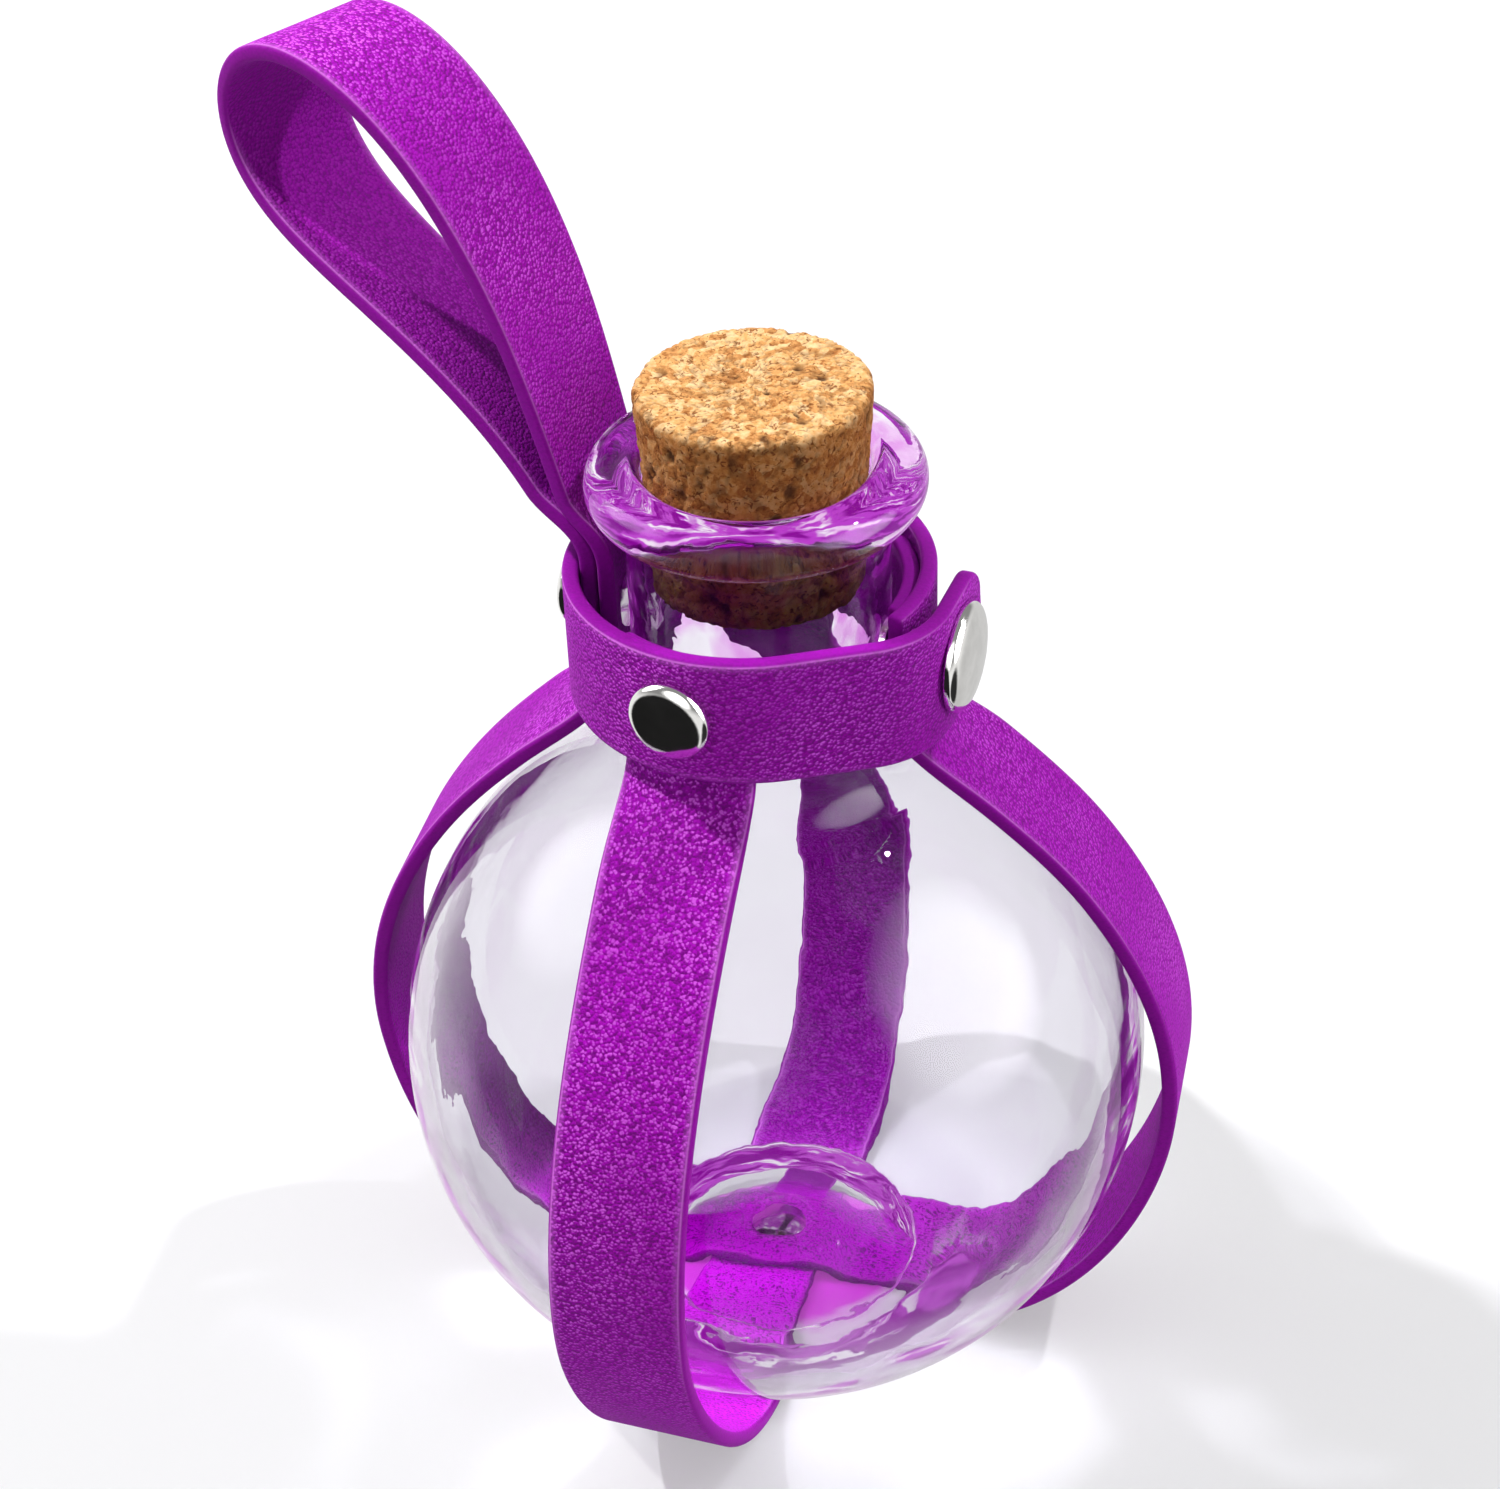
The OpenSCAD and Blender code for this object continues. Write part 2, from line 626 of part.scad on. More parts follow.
// Domed cap on the outer end, with the tube that is spread into the socket
module snap_cap() {
    color([0.8, 0.8, 0.83]) on_collar(snap_az) {
        translate([0, 0, tab_out + pin_gap]) dome(snap_r, snap_h);
        translate([0, 0, tab_in - 0.2]) cylinder(r = tube_r, h = leather_t + 0.8, $fn = 48);
    }
}

// Socket under the outer end: a ring whose bore takes the stud's head
module snap_socket() {
    low = stud_low + 0.35 + pin_gap;
    color([0.76, 0.76, 0.79]) on_collar(snap_az) translate([0, 0, low]) difference() {
        union() {
            cylinder(r = socket_r, h = (tab_in - low) * 0.55, $fn = 60);
            cylinder(r = socket_r - 0.9, h = tab_in - pin_gap - low, $fn = 60);
        }
        translate([0, 0, -1]) cylinder(r = stud_r + pin_gap, h = tab_in - low + 2, $fn = 60);
    }
}

// Stud on the inner end: a base bedded on the collar, and a waisted head inside the socket
module snap_stud() {
    head_top = tab_in - 0.3;
    color([0.76, 0.76, 0.79]) difference() {
        on_collar(snap_az) rotate_extrude($fn = 60) polygon([
            [0, stud_low - 1], [socket_r - 0.8, stud_low - 1], [socket_r - 0.8, stud_low + 0.3],
            [stud_r * 0.82, stud_low + 0.3], [stud_r * 0.82, stud_low + 0.5], [stud_r, stud_low + 0.75],
            [stud_r, head_top - 0.2], [stud_r - 0.3, head_top], [0, head_top]
        ]);
        collar_round(stud_low);
        on_collar(snap_az) cylinder(r = pin_r + pin_gap, h = head_top - 0.4, $fn = 48);
    }
}

// Flange behind the strap and the pin that holds the stud
module snap_stud_post() {
    // The flat flange's rim touches the strap's inner curve
    seat = sqrt(pow(strap_face, 2) - flange_r * flange_r) - pin_gap;
    color([0.74, 0.74, 0.77]) on_collar(snap_az) {
        translate([0, 0, seat - flange_t]) cylinder(r = flange_r, h = flange_t, $fn = 60);
        translate([0, 0, seat - flange_t / 2])
            cylinder(r = pin_r, h = tab_in - 0.75 - seat + flange_t / 2, $fn = 48);
    }
}

bottle();
cork();
collar();
front_back_strap();
side_strap();
front_rivet_cap();
front_rivet_post();
back_rivet_cap();
back_rivet_post();
loop_rivet_cap();
loop_rivet_post();
base_rivet_cap();
base_rivet_post();
snap_cap();
snap_socket();
snap_stud();
snap_stud_post();
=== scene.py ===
import math
import bpy
import numpy as np
from mathutils import Euler, Matrix, Vector


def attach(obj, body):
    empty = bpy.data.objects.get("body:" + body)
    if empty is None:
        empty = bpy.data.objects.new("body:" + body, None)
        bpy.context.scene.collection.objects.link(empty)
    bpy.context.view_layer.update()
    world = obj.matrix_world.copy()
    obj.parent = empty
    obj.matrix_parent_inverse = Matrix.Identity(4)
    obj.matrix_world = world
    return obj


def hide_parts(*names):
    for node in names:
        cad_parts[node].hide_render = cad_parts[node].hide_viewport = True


# Round glass bottle with a cork, in a harness of purple leather straps with a hanging loop.
# Shapes are worked out in millimetres about the bottle's axis and stored in metres.
# Materials, lamps and the camera are in metres.
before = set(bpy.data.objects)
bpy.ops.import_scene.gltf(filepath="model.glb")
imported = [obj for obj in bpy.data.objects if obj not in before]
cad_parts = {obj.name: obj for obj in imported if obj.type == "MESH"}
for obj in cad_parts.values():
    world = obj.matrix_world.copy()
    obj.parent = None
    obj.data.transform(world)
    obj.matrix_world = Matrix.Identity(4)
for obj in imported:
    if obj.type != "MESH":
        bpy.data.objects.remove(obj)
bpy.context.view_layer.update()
print("frame loaded:", len(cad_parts), "nodes")

millimetre = 0.001

glassBottle = dict(
    ballRadius=43.0, ballWall=2.5, baseWall=3.2, footRadius=17.5, footWidth=0.58, heelRound=4.0,
    puntRise=5.35, puntEdge=1.0, floorRound=10.0, boreRadius=12.0, neckWall=2.0, neckRise=35.0,
    shoulderRound=6.0, lipReach=3.9, lipRound=2.7, mouthRound=1.3, standHeight=1.85, turns=224)

corkStopper = dict(
    length=22.6, standsOut=8.4, taper=0.062, gap=0.12, rimRound=0.9, turns=232, seed=7,
    granules=2600, granuleSize=1.7, scatter=0.35, stretch=0.8, crackDepth=0.16, crackWidth=0.28,
    pitDepth=0.5, pitWidth=0.45, pitShare=0.075, liftDepth=0.1, liftWidth=0.3, sinkLean=0.62,
    crackTone=0.55, palerCracks=0.45, pitTone=1.1, sideStart=1.2, topCentre=2.0)

leather = dict(
    thickness=1.8, width=15.0, edgeRound=0.55, endRound=0.45, edgeSpread=1.5,
    layerGap=0.1, crossGap=0.05)

collarBand = dict(
    radius=18.0, shift=1.0, rise=7.3, tabLeave=10.0, tabRun=9.0, tabEnd=7.2, tabRound=3.5, lapEnd=6.0,
    snapBearing=68.0, snapRoom=1.6)

strapRoute = dict(
    frontBearing=-19.0, sideBearing=75.5, frontPlace=-3.0, sidePlace=5.0, sideTopPlace=2.6,
    frontLowPlace=-1.5, sideLowPlace=2.5, frontRoom=3.4, backRoom=2.7, rightRoom=2.7, leftRoom=4.4,
    armLeave=1.0, armDrop=2.7, armPull=6.0, armHigh=0.623, armLow=0.465, armReach=14.4,
    armUnwrap=11.0, armSlide=0.59, lowStart=1.1, lowSpan=0.75, underReach=1.5, climb=2.0,
    topMargin=1.5, returnMargin=1.0, footMargin=0.1)

hangingLoop = dict(
    bearing=-115.0, length=62.5, swell=18.6, gather=3.0, lean=16.4, droop=62.8, twist=-14.0,
    swing=-6.4, slant=20.0, settle=7.5, settleFrom=-0.2)

metalHeads = dict(
    rivetRadius=4.5, rivetHeight=2.0, rivetSink=0.6, snapRadius=6.0, snapHeight=2.1, gap=0.05,
    fullness=2.35, rimShare=0.22, footRound=0.2, bulge=0.16, bulgeReach=0.95, bulgeWidth=0.8,
    bulgeDepth=3.0, turns=128)

# Heights and radii that follow from the sizes above
standZ = glassBottle["standHeight"]
ballR = glassBottle["ballRadius"]
ballZ = standZ + glassBottle["heelRound"] + math.sqrt(
    (ballR - glassBottle["heelRound"]) ** 2 - glassBottle["footRadius"] ** 2)
mouthZ = ballZ + ballR + glassBottle["neckRise"]
halfT = leather["thickness"] / 2
collarC = np.array([-collarBand["shift"], 0.0, 0.0])
collarZ = ballZ + ballR + collarBand["rise"]
collarTop = collarZ + leather["width"]
collarMidZ = collarZ + leather["width"] / 2
collarOut = collarBand["radius"] + leather["thickness"]
collarMid = collarBand["radius"] + halfT
strapMid = collarBand["radius"] - leather["layerGap"] - halfT
returnMid = strapMid - leather["thickness"] - leather["layerGap"] / 2
strapTop = collarTop - strapRoute["topMargin"]


# Bearings run from the front (-Y) towards the right (+X)
def outDir(bearing):
    # Away from the axis: sine and minus cosine of the bearing
    a = np.radians(np.asarray(bearing, float))
    return np.stack([np.sin(a), -np.cos(a), 0 * a], -1)


def sideDir(bearing):
    # A quarter turn further: cosine and sine of the bearing
    a = np.radians(np.asarray(bearing, float))
    return np.stack([np.cos(a), np.sin(a), 0 * a], -1)


def smoothStep(x):
    # Soft step from 0 to 1: three x squared less two x cubed
    x = np.clip(x, 0, 1)
    return x * x * (3 - 2 * x)


def unitRows(v):
    # Every row divided by its own length
    return v / np.maximum(np.linalg.norm(v, axis=-1, keepdims=True), 1e-12)


def crossPoint():
    # Where the middle lines of the two straps cross under the bottle
    a, b = sideDir(strapRoute["frontBearing"])[:2], sideDir(strapRoute["sideBearing"])[:2]
    return np.linalg.solve(np.array([a, b]), [strapRoute["frontLowPlace"], strapRoute["sideLowPlace"]])


def bezier(a, b, c, d, count):
    # Cubic curve: the four points weighted by (1-u)^3, 3u(1-u)^2, 3u^2(1-u) and u^3
    u = np.linspace(0, 1, count)[:, None]
    a, b, c, d = (np.asarray(p, float) for p in (a, b, c, d))
    return a * (1 - u) ** 3 + b * 3 * u * (1 - u) ** 2 + c * 3 * u ** 2 * (1 - u) + d * u ** 3


def arc(centreR, centreZ, radius, start, end, count):
    # Circle arc in the profile plane, angles in degrees from the +R direction towards +Z
    a = np.radians(np.linspace(start, end, count))
    return np.stack([centreR + radius * np.cos(a), centreZ + radius * np.sin(a)], -1)


def gridQuads(rows, cols):
    # Four corners of every cell of a grid whose columns close into a ring
    i, j = np.meshgrid(np.arange(rows - 1), np.arange(cols), indexing="ij")
    k = (j + 1) % cols
    return np.stack([i * cols + j, i * cols + k, (i + 1) * cols + k, (i + 1) * cols + j], -1).reshape(-1, 4)


def putMesh(name, points, quads, tris=None):
    # Whole arrays go into the mesh; faces are turned if the volume they close comes out negative
    quads = np.asarray(quads, np.int64).reshape(-1, 4)
    tris = np.zeros((0, 3), np.int64) if tris is None else np.asarray(tris, np.int64).reshape(-1, 3)
    halves = np.concatenate([quads[:, [0, 1, 2]], quads[:, [0, 2, 3]], tris])
    p = points[halves]
    if np.einsum("ij,ij->i", p[:, 0], np.cross(p[:, 1], p[:, 2])).sum() < 0:
        quads = quads[:, ::-1]
        tris = tris[:, ::-1]
    mesh = bpy.data.meshes.new(name)
    loops = np.concatenate([quads.ravel(), tris.ravel()]).astype(np.int32)
    sizes = np.concatenate([np.full(len(quads), 4), np.full(len(tris), 3)])
    starts = np.concatenate([[0], np.cumsum(sizes)[:-1]]).astype(np.int32)
    mesh.vertices.add(len(points))
    mesh.vertices.foreach_set("co", (points * millimetre).astype(np.float32).ravel())
    mesh.loops.add(len(loops))
    mesh.loops.foreach_set("vertex_index", loops)
    mesh.polygons.add(len(sizes))
    mesh.polygons.foreach_set("loop_start", starts)
    mesh.polygons.foreach_set("use_smooth", np.ones(len(sizes), bool))
    mesh.update(calc_edges=True)
    mesh.validate()
    obj = bpy.data.objects.new(name, mesh)
    bpy.context.scene.collection.objects.link(obj)
    return obj


def addAttribute(obj, name, values):
    layer = obj.data.attributes.new(name, "FLOAT", "POINT")
    layer.data.foreach_set("value", np.asarray(values, np.float32).ravel())


def dressPiece(obj, material, body, node):
    obj.data.materials.append(material)
    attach(obj, body)
    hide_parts(node)
    print("piece:", obj.name, len(obj.data.polygons), "faces")


def lathe(profile, turns):
    # A profile of [radius, height] pairs carried round the axis; both of its ends lie on the axis
    a = np.linspace(0, 2 * np.pi, turns, endpoint=False)
    body = profile[1:-1]
    ring = np.stack([np.cos(a), np.sin(a)], -1)
    points = np.concatenate([
        body[:, None, :1] * ring[None], np.broadcast_to(body[:, None, 1:], (len(body), turns, 1))], -1)
    points = points.reshape(-1, 3)
    ends = np.array([[0, 0, profile[0, 1]], [0, 0, profile[-1, 1]]])
    j = np.arange(turns)
    k = (j + 1) % turns
    last = (len(body) - 1) * turns
    first = np.stack([np.full(turns, len(points)), k, j], -1)
    final = np.stack([np.full(turns, len(points) + 1), last + j, last + k], -1)
    return np.concatenate([points, ends]), gridQuads(len(body), turns), np.concatenate([first, final])


# Material nodes: each helper makes one node, fed by plain values or by another node's output
def newMaterial(name):
    material = bpy.data.materials.new(name)
    material.use_nodes = True
    return material, material.node_tree, material.node_tree.nodes["Principled BSDF"]


def feed(tree, socket, value):
    if isinstance(value, bpy.types.NodeSocket):
        tree.links.new(value, socket)
    else:
        socket.default_value = value


def addNode(tree, kind, settings=None, **inputs):
    node = tree.nodes.new("ShaderNode" + kind)
    for key, value in (settings or {}).items():
        setattr(node, key, value)
    for key, value in inputs.items():
        feed(tree, node.inputs[key.replace("_", " ")], value)
    return node


def mathNode(tree, operation, a, b, c=0.0, clamp=False):
    node = addNode(tree, "Math", dict(operation=operation, use_clamp=clamp))
    for socket, value in zip(node.inputs, (a, b, c)):
        feed(tree, socket, value)
    return node.outputs[0]


def product(tree, a, b, clamp=False):
    return mathNode(tree, "MULTIPLY", a, b, clamp=clamp)


def rest(tree, share):
    # What a share leaves of one
    return mathNode(tree, "SUBTRACT", 1.0, share)


def vectorNode(tree, operation, a, b=None, **inputs):
    node = addNode(tree, "VectorMath", dict(operation=operation), **inputs)
    feed(tree, node.inputs[0], a)
    if b is not None:
        feed(tree, node.inputs[1], b)
    return node.outputs["Value" if operation in ("LENGTH", "DISTANCE", "DOT_PRODUCT") else "Vector"]


def rangeNode(tree, value, span, low=0.0, high=1.0, kind="SMOOTHSTEP"):
    # Goes from low to high while the value crosses the span, softly unless kind is LINEAR
    node = addNode(tree, "MapRange", dict(interpolation_type=kind), Value=value,
                   From_Min=span[0], From_Max=span[1], To_Min=low, To_Max=high)
    return node.outputs[0]


def noise(tree, place, scale, detail, **inputs):
    return addNode(tree, "TexNoise", Vector=place, Scale=scale, Detail=detail, **inputs).outputs


def rampNode(tree, factor, stops):
    node = addNode(tree, "ValToRGB", Fac=factor)
    ramp = node.color_ramp
    for place, colour in stops[1:-1]:
        ramp.elements.new(place)
    for element, (place, colour) in zip(ramp.elements, stops):
        element.position = place
        element.color = (*colour, 1)
    return node.outputs["Color"]


def mixColour(tree, factor, a, b, blend="MIX"):
    node = tree.nodes.new("ShaderNodeMix")
    node.data_type = "RGBA"
    node.blend_type = blend
    feed(tree, node.inputs[0], factor)
    for socket, value in zip((node.inputs[6], node.inputs[7]), (a, b)):
        feed(tree, socket, value if isinstance(value, bpy.types.NodeSocket) else (*value, 1))
    return node.outputs[2]


def objectCoordinates(tree):
    return addNode(tree, "TexCoord").outputs["Object"]


def splitPlace(tree, place):
    return addNode(tree, "SeparateXYZ", Vector=place).outputs


def attributeValue(tree, name):
    return addNode(tree, "Attribute", dict(attribute_name=name)).outputs["Fac"]


def setBump(tree, shader, height, distance):
    bump = addNode(tree, "Bump", Height=height, Distance=distance, Strength=1.0)
    tree.links.new(bump.outputs["Normal"], shader.inputs["Normal"])


leatherLook = dict(
    low=(0.26, 0.0003, 0.31), middle=(0.35, 0.0005, 0.43), high=(0.42, 0.001, 0.52),
    toneSteps=(0.45, 0.72, 0.92), grainTone=0.62, softTone=0.30, fineShare=0.3,
    pebbleScale=2500.0, pebbleTurn=(0.6, 0.5, 0.35), pebbleRandom=0.9, pebbleBump=0.00012,
    bendScale=0.7, bend=0.0002, fineScale=2.1, softScale=110.0,
    lit=(-0.25, -0.55, 0.80), litReach=0.00009, paintedGlint=(0.76, 0.12, 0.87), tip=(0.05, 0.18),
    flankShade=(0.14, 0.0002, 0.17), shade=(-0.18, -0.03), shadeShare=0.75,
    patchScale=52.0, patchWeight=2.2, facingWeight=0.5, shine=(0.95, 1.7), shineShare=(0.10, 0.95),
    inner=(0.24, 0.0002, 0.28), innerShadeShare=0.6, innerPlain=0.75,
    innerPaintedLight=(0.80, 0.02, 0.90), paintedLightShare=0.85, paintedLightHeight=(0.022, 0.046), paintedLightDepth=(0.006, 0.018),
    edge=(0.26, 0.0005, 0.31), edgeShare=0.75, edgeHighlight=(0.80, 0.22, 0.88), edgeHighlightShare=2.6,
    edgeHighlightFacing=(0.25, 0.75), edgeFlat=0.85, edgeRoughness=0.74,
    roughness=0.80, roughSpread=0.16, specular=0.42, sheen=(1.0, 0.3, 1.0))


def leatherMaterial():
    # Pebbles are Voronoi cells bent by noise, painted darker in their hollows. A second look at the cells,
    # a little nearer the light, gives their slope: slopes towards the light get painted glints, the others
    # painted shade. Inner faces get painted shade, apart from the low ones at the front, which get painted
    # light where the bottle throws light on them. The edge paint is smooth, with a thin painted highlight.
    look = leatherLook
    material, tree, shader = newMaterial("leather purple pebbled")
    place = objectCoordinates(tree)
    edge = attributeValue(tree, "edge")
    inner = attributeValue(tree, "inner")
    scale = look["pebbleScale"]
    bend = noise(tree, place, scale * look["bendScale"], 2.0)["Color"]
    turned = addNode(tree, "Mapping", Vector=place, Rotation=look["pebbleTurn"]).outputs[0]
    bent = vectorNode(tree, "ADD", turned, vectorNode(tree, "SCALE", bend, Scale=look["bend"]))
    lit = Vector(look["lit"]).normalized()
    nearer = (Euler(look["pebbleTurn"]).to_matrix() @ lit) * look["litReach"]
    cells = dict(Scale=scale, Randomness=look["pebbleRandom"])
    here, ahead = (addNode(tree, "TexVoronoi", Vector=spot, **cells).outputs["Distance"]
                   for spot in (bent, vectorNode(tree, "ADD", bent, nearer)))
    fine = noise(tree, place, scale * look["fineScale"], 3.0)["Fac"]
    soft = noise(tree, place, look["softScale"], 4.0, Roughness=0.6)["Fac"]
    pebble = rest(tree, mathNode(tree, "POWER", here, 2.0))
    grain = mathNode(tree, "MULTIPLY_ADD", fine, look["fineShare"], pebble)
    tone = mathNode(tree, "MULTIPLY_ADD", soft, look["softTone"], product(tree, grain, look["grainTone"]))
    # Painted shade: the colour runs from low in the hollows between pebbles to high on their tops, with soft
    # noise for random tone
    colour = rampNode(tree, tone, list(zip(look["toneSteps"], (look["low"], look["middle"], look["high"]))))

    # Painted glints on the pebble slopes towards the light, painted shade on the slopes away from it
    slope = mathNode(tree, "SUBTRACT", ahead, here)
    tip = rangeNode(tree, slope, look["tip"])
    shade = rangeNode(tree, slope, look["shade"], look["shadeShare"], 0.0)
    facing = vectorNode(tree, "DOT_PRODUCT", addNode(tree, "NewGeometry").outputs["Normal"], lit)
    patch = noise(tree, place, look["patchScale"], 2.0)["Fac"]
    towards = product(tree, facing, look["facingWeight"])
    shine = mathNode(tree, "MULTIPLY_ADD", patch, look["patchWeight"], towards)
    shine = rangeNode(tree, shine, look["shine"], *look["shineShare"], kind="LINEAR")
    plain = mathNode(tree, "MAXIMUM", edge, product(tree, inner, look["innerPlain"]))
    shine = product(tree, shine, rest(tree, plain))

    # Painted light on the low inner faces towards the front, where the bottle throws light on them
    parts = splitPlace(tree, place)
    pale = product(tree, rangeNode(tree, parts["Z"], look["paintedLightHeight"], 1.0, 0.0),
                   rangeNode(tree, parts["Y"], look["paintedLightDepth"], 1.0, 0.0))
    # Painted shade on the inner faces, apart from the low front ones
    innerShade = product(tree, product(tree, inner, rest(tree, pale)), look["innerShadeShare"])
    colour = mixColour(tree, innerShade, colour, look["inner"])
    pale = product(tree, product(tree, inner, pale), look["paintedLightShare"])
    colour = mixColour(tree, pale, colour, look["innerPaintedLight"])
    colour = mixColour(tree, shade, colour, look["flankShade"])
    colour = mixColour(tree, product(tree, tip, shine), colour, look["paintedGlint"])
    colour = mixColour(tree, product(tree, edge, look["edgeShare"]), colour, look["edge"])
    # A thin painted highlight along the edge, where it faces the light
    line = product(tree, product(tree, edge, rest(tree, edge)), look["edgeHighlightShare"])
    line = product(tree, line, rangeNode(tree, facing, look["edgeHighlightFacing"]), clamp=True)
    colour = mixColour(tree, line, colour, look["edgeHighlight"])
    tree.links.new(colour, shader.inputs["Base Color"])

    rough = mathNode(tree, "MULTIPLY_ADD", edge, look["edgeRoughness"] - look["roughness"],
                     product(tree, soft, look["roughSpread"]))
    rough = mathNode(tree, "ADD", rough, look["roughness"] - look["roughSpread"] / 2)
    tree.links.new(rough, shader.inputs["Roughness"])
    shader.inputs["Specular IOR Level"].default_value = look["specular"]
    shader.inputs["Specular Tint"].default_value = (*look["sheen"], 1)
    flat = rest(tree, product(tree, edge, look["edgeFlat"]))
    wave = mathNode(tree, "ADD", soft, product(tree, grain, flat))
    setBump(tree, shader, wave, look["pebbleBump"])
    return material


glassLook = dict(
    colour=(0.865, 0.857, 0.888), glare=(0.2, 0.2, 0.21), index=1.5, shadow=(0.76, 0.76, 0.78),
    waves=0.00035, waveScale=70.0, ripple=0.00001, neckRipple=0.000045, rippleScale=430.0,
    smearScale=260.0, smear=(0.45, 0.8), smearRoughness=0.02,
    base=(0.74, 0.008, 0.78), baseRise=(5.6, 6.4), puntRim=(0.015, 0.0175), rivetRim=(0.0042, 0.0052),
    rivetShift=2.0, neckDark=(0.80, 0.38, 0.84), neckPale=(0.95, 0.92, 0.97), neckSteps=(0.46, 0.56),
    neckStart=(-1.0, 4.0), neckFlow=0.6, neckStreak=150.0,
    deepDark=(0.28, 0.005, 0.34), deepMiddle=(0.56, 0.08, 0.66), deepPale=(0.95, 0.88, 0.97),
    deepSteps=(0.40, 0.50, 0.57, 0.64), deepFlow=4.5, deepStreak=85.0, deepFrom=2.5)


def streaks(tree, place, flow, scale):
    # Noise drawn out or pressed together along the bottle's axis
    run = addNode(tree, "Mapping", Vector=place, Scale=(1.0, 1.0, flow)).outputs[0]
    return noise(tree, run, scale, 3.0, Distortion=0.8)["Fac"]


def glassMaterial():
    # Clear glass with slow waves in its skin. Shadow rays pass it, dimmed at every surface, and a
    # ray caught inside the glass ends in a painted lilac glow, standing for the light the leather throws in.
    # The punt's dome has the straps' purple painted in, a painted reflection of the straps under it, apart
    # from a hole over the base rivet.
    look = glassLook
    material, tree, shader = newMaterial("glass clear")
    place = objectCoordinates(tree)
    parts = splitPlace(tree, place)
    waves = noise(tree, place, look["waveScale"], 1.5, Roughness=0.4)["Fac"]
    ripple = noise(tree, place, look["rippleScale"], 1.5, Roughness=0.4)["Fac"]
    depth = rangeNode(tree, parts["Z"], ((ballZ + ballR) * millimetre, collarTop * millimetre),
                      look["ripple"], look["neckRipple"])
    height = mathNode(tree, "MULTIPLY_ADD", waves, look["waves"], product(tree, ripple, depth))
    setBump(tree, shader, height, 1.0)
    smear = noise(tree, place, look["smearScale"], 1.0)["Fac"]
    rough = rangeNode(tree, smear, look["smear"], 0.0, look["smearRoughness"], kind="LINEAR")
    tree.links.new(rough, shader.inputs["Roughness"])

    # Painted reflection: the straps' purple in the punt's dome, with a hole over the base rivet
    baseSpan = [(standZ + rise) * millimetre for rise in look["baseRise"]]
    inBase = rangeNode(tree, parts["Z"], baseSpan, 1.0, 0.0)
    level = addNode(tree, "CombineXYZ", X=parts["X"], Y=parts["Y"]).outputs[0]
    overPunt = rangeNode(tree, vectorNode(tree, "LENGTH", level), look["puntRim"], 1.0, 0.0)
    crossX, crossY = crossPoint()
    rivet = (crossX * millimetre, (crossY - look["rivetShift"]) * millimetre, 0.0)
    offRivet = rangeNode(tree, vectorNode(tree, "DISTANCE", level, rivet), look["rivetRim"])
    paintedStrapShare = product(tree, product(tree, inBase, overPunt), offRivet)
    # Lilac and white streaks painted into the neck glass, a painted reflection of the purple collar round it
    inNeck = rangeNode(tree, parts["Z"], [(collarZ + rise) * millimetre for rise in look["neckStart"]])
    neckPaintedReflection = rampNode(tree, streaks(tree, place, look["neckFlow"], look["neckStreak"]),
                        list(zip(look["neckSteps"], (look["neckDark"], look["neckPale"]))))
    colour = mixColour(tree, paintedStrapShare, look["colour"], look["base"])
    colour = mixColour(tree, inNeck, colour, neckPaintedReflection)
    tree.links.new(colour, shader.inputs["Base Color"])
    shader.inputs["Specular Tint"].default_value = (*look["glare"], 1)
    shader.inputs["IOR"].default_value = look["index"]
    shader.inputs["Transmission Weight"].default_value = 1.0

    path = addNode(tree, "LightPath").outputs
    # A ray caught inside the glass ends in a painted glow of lilac and white streaks
    deepTones = (look["deepDark"], look["deepMiddle"], look["deepMiddle"], look["deepPale"])
    inside = rampNode(tree, streaks(tree, place, look["deepFlow"], look["deepStreak"]),
                      list(zip(look["deepSteps"], deepTones)))
    deep = addNode(tree, "Emission", Color=inside, Strength=1.0)
    caught = mathNode(tree, "GREATER_THAN", path["Glossy Depth"], look["deepFrom"])
    held = addNode(tree, "MixShader", Fac=caught)
    tree.links.new(shader.outputs["BSDF"], held.inputs[1])
    tree.links.new(deep.outputs["Emission"], held.inputs[2])
    clear = addNode(tree, "BsdfTransparent", Color=(*look["shadow"], 1))
    mix = addNode(tree, "MixShader", Fac=path["Is Shadow Ray"])
    tree.links.new(held.outputs["Shader"], mix.inputs[1])
    tree.links.new(clear.outputs["BSDF"], mix.inputs[2])
    tree.links.new(mix.outputs["Shader"], tree.nodes["Material Output"].inputs["Surface"])
    return material


corkLook = dict(
    brown=(0.42, 0.15, 0.035), tan=(0.80, 0.41, 0.14), pale=(0.95, 0.64, 0.33),
    toneSteps=(0.34, 0.58, 0.80), granuleTone=0.34, grainTone=0.85,
    speck=(0.24, 0.07, 0.014), speckRange=(0.37, 0.43), speckShare=0.9, sideShade=(0.62, 0.46, 0.34),
    dark=(0.05, 0.014, 0.004), darkShare=0.9, neckShade=(0.30, 0.36, 0.24), neckShadeRise=(-7.0, 0.8),
    warpScale=700.0, warp=0.0011, cellScale=760.0, speckScale=1250.0, grainScale=1300.0,
    bump=0.00026, poreBump=0.7, roughness=0.85, specular=0.2)


